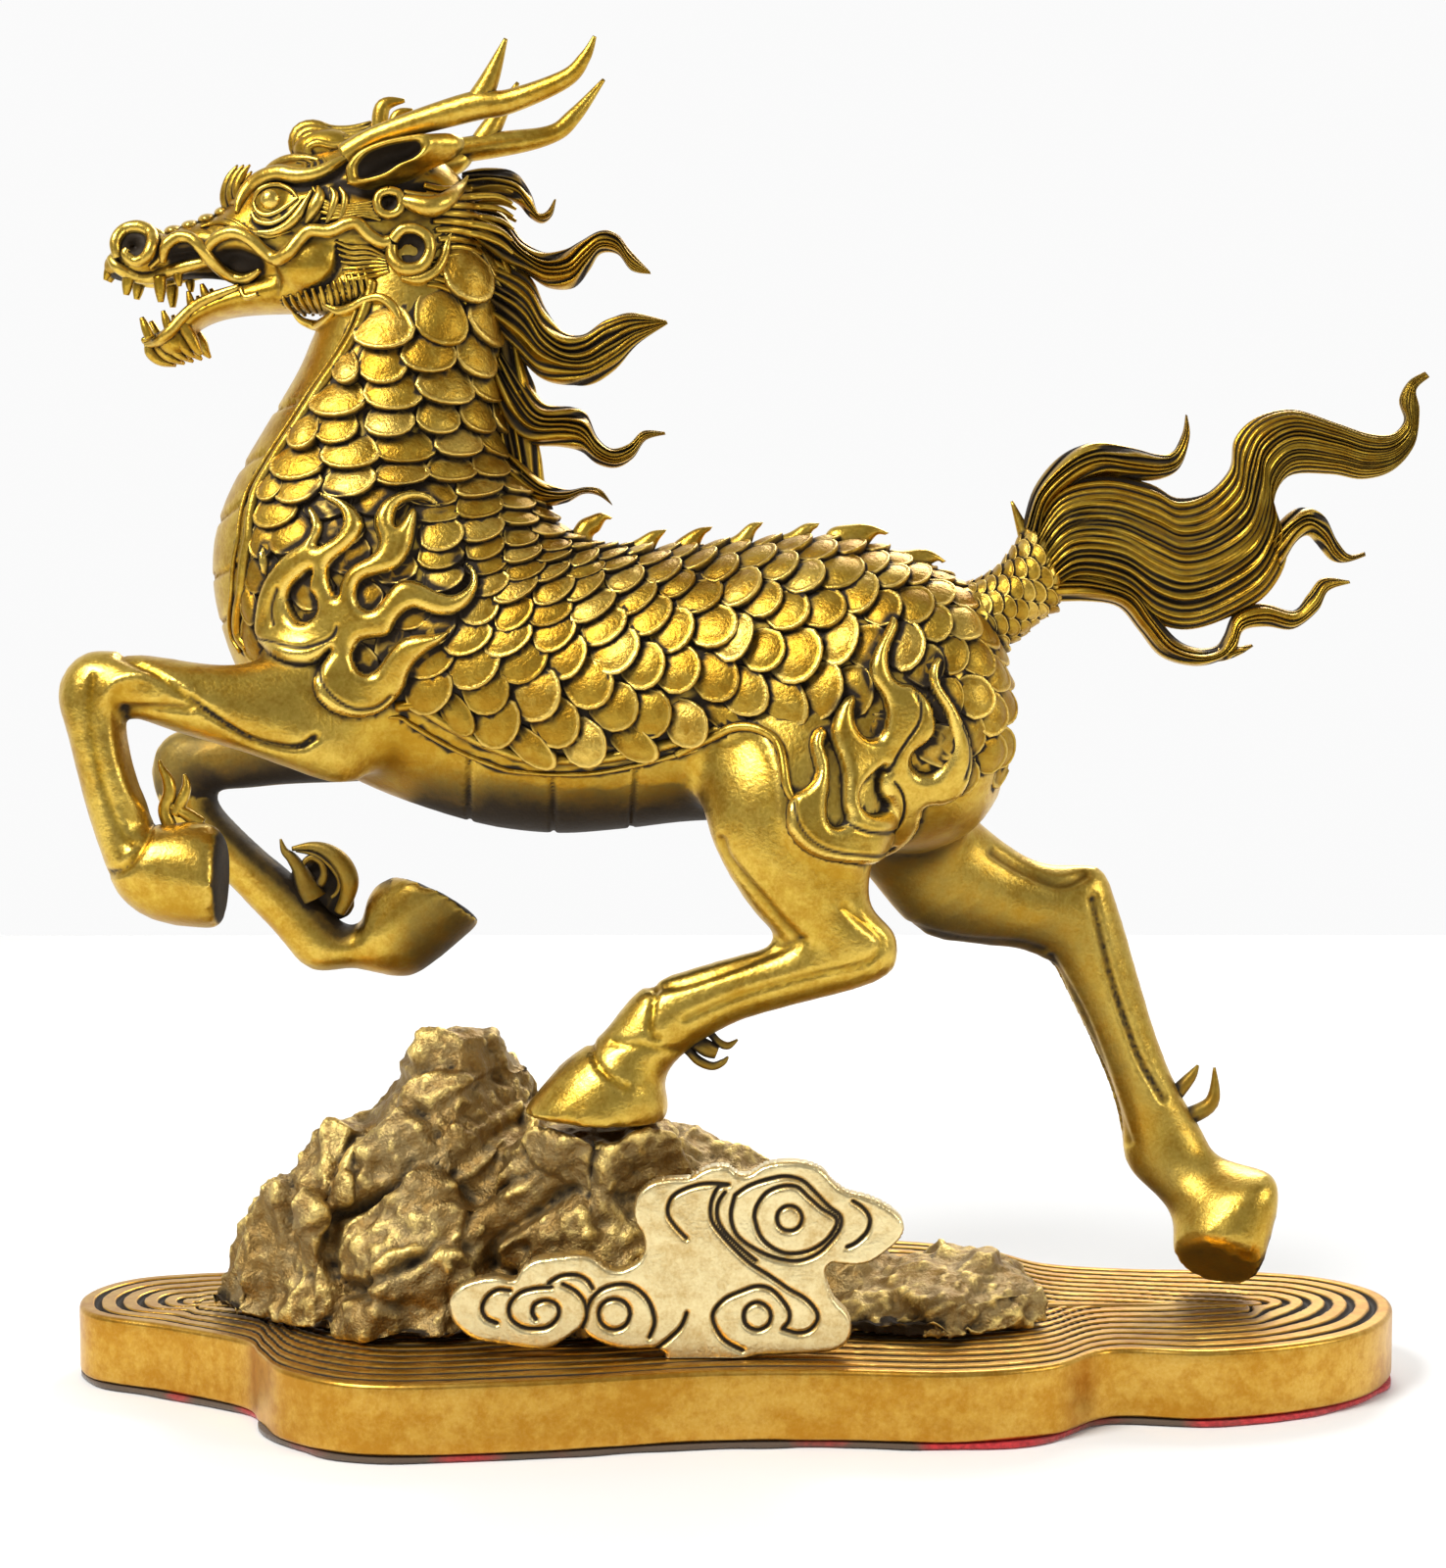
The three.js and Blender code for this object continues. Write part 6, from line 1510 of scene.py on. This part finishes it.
# Locks of several strands: how many, and the first and the last of them.
HEAD_COMBS = [
    (9, [(-59, 242.4, .59), (-54.6, 241.6, .78), (-49.7, 242.8, .78), (-44.9, 243.2, .59), (-41.1,
     241.6, .2)],
     [(-55.3, 228.3, .59), (-51.4, 229, .78), (-47, 227.1, .78), (-43.1, 223.9, .59), (-41.2, 221,
     .2)]),
    (5, [(-57.5, 228.2, .39), (-53.6, 227, .68), (-50.2, 224.4, .68), (-47.9, 220.9, .2)],
     [(-58.3, 222.8, .39), (-55.6, 222.5, .59), (-52.5, 220.9, .59), (-49.8, 217.9, .2)]),
    (6, [(-80.9, 242, .2), (-78.6, 239.1, .49), (-74.4, 238, .49), (-67.9, 239.1, .29)],
     [(-78.7, 234, .2), (-75.8, 234.7, .49), (-70.6, 236.1, .49), (-66.7, 235.1, .29)]),
    (7, [(-76.4, 231.3, .2), (-73.3, 230.1, .49), (-69.9, 230.1, .49), (-66, 228.2, .29)],
     [(-74.6, 223.6, .2), (-71.9, 224, .49), (-68.8, 224.6, .49), (-65.3, 225.6, .29)]),
    (7, [(-87.4, 220.8, .29), (-86.9, 219.3, .51), (-85.5, 217.2, .29)],
     [(-78.1, 222.9, .29), (-77.6, 220.8, .51), (-77.4, 218.7, .29)]),
    (7, [(-78, 222.9, .29), (-77.5, 220.8, .51), (-77.3, 218.7, .29)],
     [(-71.1, 226.7, .29), (-70.1, 223.6, .51), (-69.6, 220.4, .29)]),
    (4, [(-84.5, 247.5, .2), (-82.6, 246.7, .39), (-83, 244.8, .2)],
     [(-79.5, 248.2, .2), (-78.6, 246.9, .39), (-79.2, 245.2, .2)]),
    (5, [(-92.5, 232.9, .2), (-96.8, 234.4, .49), (-100.3, 235.6, .49), (-104.6, 234.4, .2)],
     [(-85.1, 233.3, .2), (-91, 232.3, .49), (-96.8, 235.6, .49), (-99.5, 236.4, .2)]),
]
# Hollows: depth, half width and the points.
HEAD_PITS = [
    (2.6, 1.8, [(-117.2, 231.7), (-117.1, 231)]),
    (1.6, 1.6, [(-108.7, 229), (-104.9, 229.3)]),
    (2.2, 1.8, [(-98.5, 228.3), (-96.2, 228.3), (-93.1, 227.1)]),
    (2.6, 2.5, [(-62.1, 230.1), (-60.9, 229.7)]),
    (1.6, 1.4, [(-65.7, 238.9), (-65.7, 238.5)]),
    (1.8, 1.6, [(-69.5, 222.5), (-64.3, 222.1), (-59.1, 221.7)]),
    (0.9, 1, [(-91.8, 242), (-89.3, 243.2), (-86, 242.8), (-83.3, 241.8), (-80.2, 242.8), (-76.7,
     244.5), (-74, 246.2)]),
    (0.8, 0.7, [(-75.9, 230.2), (-76, 226.4), (-78.5, 223.1), (-82.8, 221.2)]),
    (0.5, 0.5, [(-88.6, 225.8), (-88.1, 223.5), (-88.3, 221.2)]),
    (1.2, 1.2, [(-112.7, 222.8), (-107.5, 223.6), (-102.2, 224.7), (-98.3, 224.2)]),
    (1.2, 1.6, [(-75.7, 242.3), (-69.9, 241.1), (-64.1, 241.9), (-57.4, 241.5)]),
    (0.7, 0.6, [(-92.6, 235.5), (-91.1, 234), (-88, 233.8), (-84.9, 235.7), (-82.6, 238.6)]),
    (0.7, 0.6, [(-81.1, 233.2), (-78.8, 235.5), (-78.1, 239), (-78.5, 241.6)]),
    (0.7, 0.6, [(-75.7, 234), (-75.6, 237.4), (-75.6, 240.9)]),
    (0.9, 0.8, [(-70.7, 227.5), (-68.4, 226.8), (-66.1, 226.8)]),
    (0.8, 0.6, [(-110.6, 234.3), (-109.1, 233.2), (-107.1, 232.8)]),
    (0.5, 0.5, [(-103.2, 235), (-101.5, 233.8)]),
    (0.5, 0.5, [(-99.9, 236.3), (-98.4, 235)]),
]
EAR_RIM = [(-73, 243.7), (-72.8, 245.9), (-70.5, 248.4), (-66.4, 250.1), (-61.6, 251.1), (-58.5, 251.2),
           (-57.6, 249.5), (-59.5, 247.3), (-63, 245.8), (-65.9, 244), (-69.2, 242.9), (-72.3, 242.5)]
# The ear from its root over the rim into its hollow: size of the rim, y, and how far it leans back.
EAR_RINGS = [(0.5, -7, 4), (1, -8, 5), (1.25, -10, 4.5), (1.25, -11.5, 3), (1.18, -13, 1.2), (1.12, -14.6, 0),
             (1.04, -15.4, 0), (0.94, -15.5, 0), (0.84, -14.9, 0), (0.77, -13.4, 0), (0.5, -12, 0),
             (0.2, -11.6, 0)]
# Teeth on either side: y, then x and z of root and tip, and the radius.
TEETH = [
    (-2, -123, 227.2, -124, 224.6, 1), (-5.3, -118.6, 225.3, -119.2, 221.4, 1.3),
    (-6.5, -112.2, 225, -112.1, 219.9, 1.35), (-6.6, -108.6, 225.5, -108.3, 223, 1),
    (-4.9, -114.6, 212.9, -116.3, 217, 1.1), (-5.4, -110.8, 214.8, -111.9, 218.3, .95),
    (-5.4, -106, 218.6, -106.8, 222.2, .9), (-5.4, -103, 220.4, -104.1, 223.6, .95),
]
# Tufts on the brow, under the chin and over the eyes: the first and the last strand, x, y, z and radius.
CREST = ([(-85, -.5, 249, 1.3), (-86, -.5, 252, 1.3), (-84.9, -.5, 254.6, 1.3), (-82, -.5, 255.4, 1.3),
          (-78.5, -.5, 254.4, 1.2), (-74.5, -.5, 254.6, 1), (-70.5, -.5, 256.2, .3)],
         [(-82, -5, 248, .9), (-82.6, -5.2, 250.2, .9), (-80.5, -5.4, 251.3, .9), (-77, -5.4, 250.6, .9),
          (-73, -5, 251.6, .8), (-68, -4.5, 252.6, .3)])
CHIN = ([(-114.4, -1, 213, 1.2), (-115.4, -1, 210.8, 1.3), (-113.6, -1, 208.8, 1.1), (-110.6, -1, 207.8, .3)],
        [(-108.2, -5, 215.6, 1.2), (-106.4, -5, 213, 1.3), (-105.4, -5, 211, 1), (-104.3, -5, 209.6, .3)])
BROW_HAIR = ([(-97.5, 3, 237, 1.4), (-99.4, 3.5, 240.4, 1.2), (-98.6, 4, 244.4, .9), (-96.8, 4, 247.2, .2)],
             [(-95.5, 5.5, 239, 1.4), (-96.6, 6, 242, 1.1), (-95.6, 6, 245, .8), (-94, 6, 247, .2)])


def comb(first, last, count):
    """Strands side by side between the first and the last."""
    first, last = (evenly(smooth_rows(line, 6), 20) for line in (first, last))
    return [first + (last - first) * share for share in np.linspace(0, 1, count)]


def ball(x, y, z, radius_x, radius_y, radius_z):
    """A squashed ball."""
    turn = np.linspace(0, 2 * math.pi, 24, endpoint=False)[None, :]
    down = np.linspace(0.02, math.pi - 0.02, 16)[:, None]
    rings = np.stack([np.sin(down) * np.cos(turn) * radius_x, np.sin(down) * np.sin(turn) * radius_y,
                      np.cos(down) * radius_z + 0 * turn], -1)
    return skin(rings + [x, y, z])


def pits_in(points, triangles):
    """How deep the hollows sink each point of the head, and the direction that it faces."""
    out = facing(points, triangles)
    return lines_cut(points, HEAD_PITS, np.abs(out[:, 1]) > 0.25), out


base_shells = [loft(SKULL, 48, 6), loft(JAW, 40, 6)]
for sizes in HEAD_BALLS:
    base_shells += [ball(*sizes), other_side(ball(*sizes))]
base_points, base_faces = fused(base_shells, HEAD_VOXEL)
base_points = relaxed(base_points, base_faces, 9)
head_and_body = joined([(base_points, base_faces), (core_points, core_faces)])
ground = BVHTree.FromPolygons(*(each.tolist() for each in head_and_body))
base_sunk, base_out = pits_in(base_points, base_faces)
base_points = base_points - base_out * (base_sunk * np.clip(np.abs(base_out[:, 1]) * 1.6, 0, 1))[:, None]
base_points = relaxed(base_points, base_faces, 1)
head_parts, head_edges = [], []


def on_head(shell, edge=0.35, both=True):
    """A shell added to the head, and how brightly it is rubbed."""
    for each in [shell, other_side(shell)] if both else [shell]:
        head_parts.append(each)
        head_edges.append(edge)


for lift, line in HEAD_LINES:
    on_head(rod(laid(line, ground, lift), 12, 2))
for count, first, last in HEAD_COMBS:
    for strand in comb(first, last, count):
        on_head(rod(laid(strand[::3], ground, 0.25), 8, 1), 0.15)
for y, root_x, root_z, tip_x, tip_z, radius in TEETH:
    middle_x = (root_x + tip_x) / 2
    middle_z = (root_z + tip_z) / 2
    on_head(rod([(root_x, y, root_z, radius), (middle_x, y, middle_z, radius * 0.9),
                 (tip_x, y, tip_z, radius * 0.45)], 10, 4), -0.2)
for strand in comb(*CREST, 5) + comb(*CHIN, 5) + comb(*BROW_HAIR, 3):
    on_head(rod(strand, 10, 1), 0.2)
on_head(ball(*CROWN), 0)
on_head(ball(*EYEBALL), 0.6)
for x, z in NOSE_BUMPS:
    on_head(ball(x, 0, z, 2.3, 5.2, 1.5), 0.45, both=False)
ear_edge = smooth_rows(EAR_RIM, 6, closed=True)
ear_middle = ear_edge.mean(0)
ear_rings = []
for size, y, lean in EAR_RINGS:
    ring = ear_middle + (ear_edge - ear_middle) * size
    ear_rings.append(np.column_stack([ring[:, 0] + lean, np.full(len(ring), y), ring[:, 1]]))
on_head(skin(np.array(ear_rings)), 0.25)
for points in ANTLERS.values():
    on_head(rod(points, 20, 8), 0.2, both=False)
faces_left = HEAD_FACES - sum(len(triangles) for _, triangles in head_parts)
base_points, base_faces = thinned(base_points, base_faces, faces_left)
base_sunk, base_out = pits_in(base_points, base_faces)
# Painted shade inside the open mouth.
mouth_shade = (base_points[:, 0] < -96) & (base_points[:, 2] > 212) & (base_points[:, 2] < 226)
mouth_shade = mouth_shade & (np.abs(base_out[:, 2]) > 0.45) & ((base_out[:, 2] < 0) == (base_points[:, 2] > 221))
head_parts.insert(0, (base_points, base_faces))
head_edges.insert(0, 0.1)
head_points, head_faces = joined(head_parts)
head_edge = np.repeat(head_edges, [len(points) for points, _ in head_parts])
# Painted shade with patina in the pits, and painted shade in the mouth.
head_pit_shade = np.zeros(len(head_points))
head_pit_shade[: len(base_points)] = np.clip(base_sunk * 0.8, -0.2, 1) + mouth_shade * 0.7
# Painted shade deep inside the ears.
ear_shade = inside(head_points[:, 0], head_points[:, 2], [tuple(spot) for spot in ear_edge])
ear_shade &= (np.abs(head_points[:, 1]) > 11) & (np.abs(head_points[:, 1]) < 13.8)
# Painted shade where the head shuts off its own sky.
head_shade = shade_of(head_points, head_faces, (head_points, head_faces), 3.5)
new_piece("horse_head", head_points, head_faces, horse_brass, "figure_brass", "dragon_horse",
          {"hollow": head_shade * 1.3 + head_pit_shade + ear_shade, "edge": head_edge, "tone": 0.1})

# Mane and tail. Locks of hair cast in one with the neck and rump, each with fine strands cut along it.
# The grooves between the strands are dark, and the roots are painted dark as shade where the locks
# meet the neck and rump.
STRAND_CUT = 0.55
LOCK_SIDES = 150
LOCK_STEPS = 6
ROOT_FADE = 7
# Each lock from root to tip: lower edge x, z, upper edge x, z, middle y and half depth.
MANE = [
    [(-46.3, 177.2, -34.1, 178.9, 0, 1.5), (-47.7, 183.6, -35.8, 183, 0, 3.6), (-48.5, 190.5, -36.7,
     189.7, 0, 3.6), (-49.6, 196.9, -38, 196.3, 0, 3.6), (-49.6, 202.6, -37.6, 202.6, 0, 3.6), (-50.1,
     209, -39.5, 207.8, 0, 3.6), (-50.6, 214.7, -40.6, 213.6, 0, 3.6), (-51.2, 221.6, -40, 221.6, 0,
     3.6), (-52.3, 227.3, -39.9, 226.7, 0, 3.6), (-53.4, 232.4, -41.9, 231.3, 0, 1.5)],
    [(-51.6, 239.9, -52.4, 246.4, 0, 5), (-45.3, 241.4, -47.6, 247.1, 0, 4.7), (-41.3, 239.9, -41.8,
     246.4, 0, 4.1), (-39, 237.3, -38.7, 242.4, 0, 3.5), (-36.4, 236.1, -37.2, 238.4, 0, 2.7), (-34.3,
     237.7, -35.4, 238.6, 0, 1.9), (-33.5, 241, -34, 240.8, 0, 0.4)],
    [(-50.5, 231.9, -52.8, 239.6, 0, 6.5), (-44.2, 227.6, -44.7, 238.4, 0, 6.3), (-39.6, 225.9, -40.5,
     233, 0, 5.9), (-35.1, 223.2, -36.2, 230.6, 0, 5.4), (-29.9, 223.2, -31.9, 231, 0, 4.8), (-26.9,
     226.7, -28.7, 232.7, 0, 4.2), (-24.7, 230, -24.7, 234.7, 0, 3.5), (-21.2, 229.9, -21.4, 234.2, 0,
     2.8), (-18.4, 226.6, -18.8, 231, 0, 2), (-14.5, 226, -14.7, 226.6, 0, 0.4)],
    [(-47.2, 214.7, -49.4, 229.9, 0, 7), (-41.5, 209.5, -39.4, 226.2, 0, 6.6), (-36.9, 205.2, -35.7,
     219.3, 0, 6), (-31.7, 203.7, -32.2, 214.7, 0, 5.3), (-26.5, 203.9, -28.2, 214.1, 0, 4.5), (-21.6,
     207, -23.6, 217, 0, 3.6), (-17.3, 211.8, -18.4, 218.4, 0, 2.6), (-11.1, 216.1, -11.4, 216.8, 0,
     0.4)],
    [(-46.7, 200.9, -44.3, 211.8, 0, 6.5), (-44.4, 196, -39.5, 204.9, 0, 6.3), (-39.8, 192, -35.7,
     200.2, 0, 5.9), (-32.9, 191.4, -30, 199.6, 0, 5.4), (-28.9, 190.4, -27.4, 198, 0, 4.8), (-25.4,
     187.9, -25.4, 193.5, 0, 4.2), (-21.6, 187.2, -22.5, 191.2, 0, 3.5), (-18.2, 189.1, -19, 192.2, 0,
     2.8), (-15.6, 192.7, -16.1, 194.7, 0, 2), (-11.6, 193.9, -11.8, 194.5, 0, 0.4)],
    [(-46.2, 183.6, -45, 192.9, 0, 6), (-41.6, 180.4, -40.4, 189.9, 0, 5.6), (-36.4, 179.4, -36.4,
     184.9, 0, 5), (-31.8, 180.1, -31.8, 182.9, 0, 4.2), (-28.3, 181.9, -27.7, 183.4, 0, 3.3), (-25.3,
     181.6, -24.7, 182.9, 0, 2.3), (-22.4, 179.6, -22.5, 180, 0, 0.4)],
]
TAIL = [
    [(64.4, 172.8, 60.6, 175.5, 0, 6), (65.9, 179.3, 63, 183.3, 0, 5.7), (71.3, 183.9, 68, 189.5, 0,
     5.3), (76.7, 185.7, 74.4, 192.4, 0, 4.8), (83.1, 184.6, 82, 191.5, 0, 4.2), (88.5, 184.9, 87.9,
     190, 0, 3.5), (92.5, 187.3, 90.9, 190.5, 0, 2.8), (94.4, 193.2, 92.9, 194.3, 0, 2), (93.9, 197.7,
     93.5, 198, 0, 0.4)],
    [(66.1, 160.4, 61.7, 172.8, 0, 7.2), (72.6, 163.6, 67.2, 183, 0, 7.1), (81.8, 161.3, 76.6, 186.1, 0,
     6.9), (87.8, 155.9, 86.4, 184.4, 0, 6.6), (94.3, 154.3, 91.8, 181.6, 0, 6.4), (101.8, 156.4, 97.7,
     182.7, 0, 6.1), (110.4, 161.3, 102.5, 187.3, 0, 5.7), (114.6, 169.6, 103.5, 193.2, 0, 5.4), (111.4,
     178.2, 107.9, 197.5, 0, 5), (114.3, 185.3, 115.2, 199.1, 0, 4.6), (122.9, 185.9, 123.8, 196.4, 0,
     4.2), (129.4, 184.9, 130.3, 194.2, 0, 3.8), (135.5, 186.6, 135.2, 194.1, 0, 3.3), (139.8, 191.6,
     137.8, 197, 0, 2.9), (140.8, 198.6, 136.6, 200.9, 0, 2.4), (140, 202.8, 138.5, 204.7, 0, 1.9),
     (142.7, 205.4, 141.7, 206.6, 0, 0.4)],
    [(65.6, 159.9, 67.1, 165.8, 0, 6), (73.7, 160.2, 74.7, 166, 0, 5.9), (80.2, 159.1, 83.4, 163.3, 0,
     5.7), (84.5, 154.3, 87.7, 157.9, 0, 5.4), (88.9, 149.1, 92.1, 152.9, 0, 5.1), (95.4, 147.1, 96.5,
     150.9, 0, 4.7), (100.8, 148, 100.2, 151.2, 0, 4.4), (104.3, 150.6, 101.8, 153.4, 0, 4), (105.8,
     154.3, 103.9, 157.9, 0, 3.6), (110.5, 155.1, 109.3, 159.9, 0, 3.1), (115.9, 154.6, 115.8, 158.5, 0,
     2.7), (120.9, 158.3, 118.8, 161.7, 0, 2.2), (123, 162.3, 121.7, 165, 0, 1.7), (127.4, 163.9, 127.1,
     164.5, 0, 0.4)],
    [(99.2, 147.8, 100.8, 151.5, 0, 3.5), (102.5, 148.3, 102.4, 151, 0, 3), (105.4, 149.5, 105.1, 151.2,
     0, 2.1), (107.9, 151.1, 107.5, 151.6, 0, 0.4)],
    [(113, 166.4, 110.2, 173.4, 0, 5), (115.8, 171.7, 114.4, 178, 0, 4.7), (118.6, 173.5, 117.9, 179.4,
     0, 4.1), (121, 171, 122, 177.4, 0, 3.5), (123.5, 168.5, 124.5, 172.6, 0, 2.7), (126.5, 168.1,
     127.1, 169.8, 0, 1.9), (130.4, 169.4, 130.2, 170.3, 0, 0.4)],
]
# Name, locks, strands for each millimetre of a lock's width, and the x past which its roots are painted
# dark as shade.
HAIR = [
    ("horse_mane", MANE, 0.42, -37),
    ("horse_tail", TAIL, 0.55, 66),
]


def strand_groove(share, angle, strands):
    """How deep the grooves between the strands of a lock lie: they wander and vary."""
    up = 0.5 - 0.5 * np.cos(angle)
    at = up * strands + 0.5 * np.sin(share * 8) + 0.3 * np.sin(up * 9 + share * 5)
    at = at + 0.1 * np.sin(up * 23 - share * 9)
    between = 1 - np.abs(np.sin(math.pi * at)) ** 0.85
    lower = 0.16 + 0.16 * np.sin(np.floor(at) * 2.7)
    return lower + (1 - lower) * between * (0.78 + 0.22 * np.sin(np.round(at) * 5.3))


for name, locks, strands_per_mm, root_shade_from in HAIR:
    shells, grooves = [], []
    for stations in locks:
        widest = max(math.hypot(row[2] - row[0], row[3] - row[1]) for row in stations)
        strands = round(1 + widest * strands_per_mm)

        def relief(share, angle):
            cut = strand_groove(share, angle, strands) * STRAND_CUT
            return 1 - cut * 0.12, 1 - cut

        shells.append(loft(stations, LOCK_SIDES, LOCK_STEPS, relief))
        angle = np.linspace(0, 2 * math.pi, LOCK_SIDES, endpoint=False)[None, :]
        share = np.linspace(0, 1, (len(stations) - 1) * LOCK_STEPS + 1)[:, None]
        grooves.append(np.concatenate([strand_groove(share, angle, strands).ravel(), [0, 0]]))
    hair_points, hair_faces = joined(shells)
    groove = np.concatenate(grooves)
    # Painted shade at the roots, where the locks meet the body.
    root_shade = np.clip((root_shade_from - hair_points[:, 0]) / ROOT_FADE, 0, 1)
    new_piece(name, hair_points, hair_faces, horse_brass, "figure_brass", "dragon_horse", {
        "hollow": np.clip(groove * 2.4 - 0.5, 0, 1) + root_shade * 0.3,
        "edge": 0.5 - groove,
        "tone": -0.3 - root_shade * 0.3,
    })
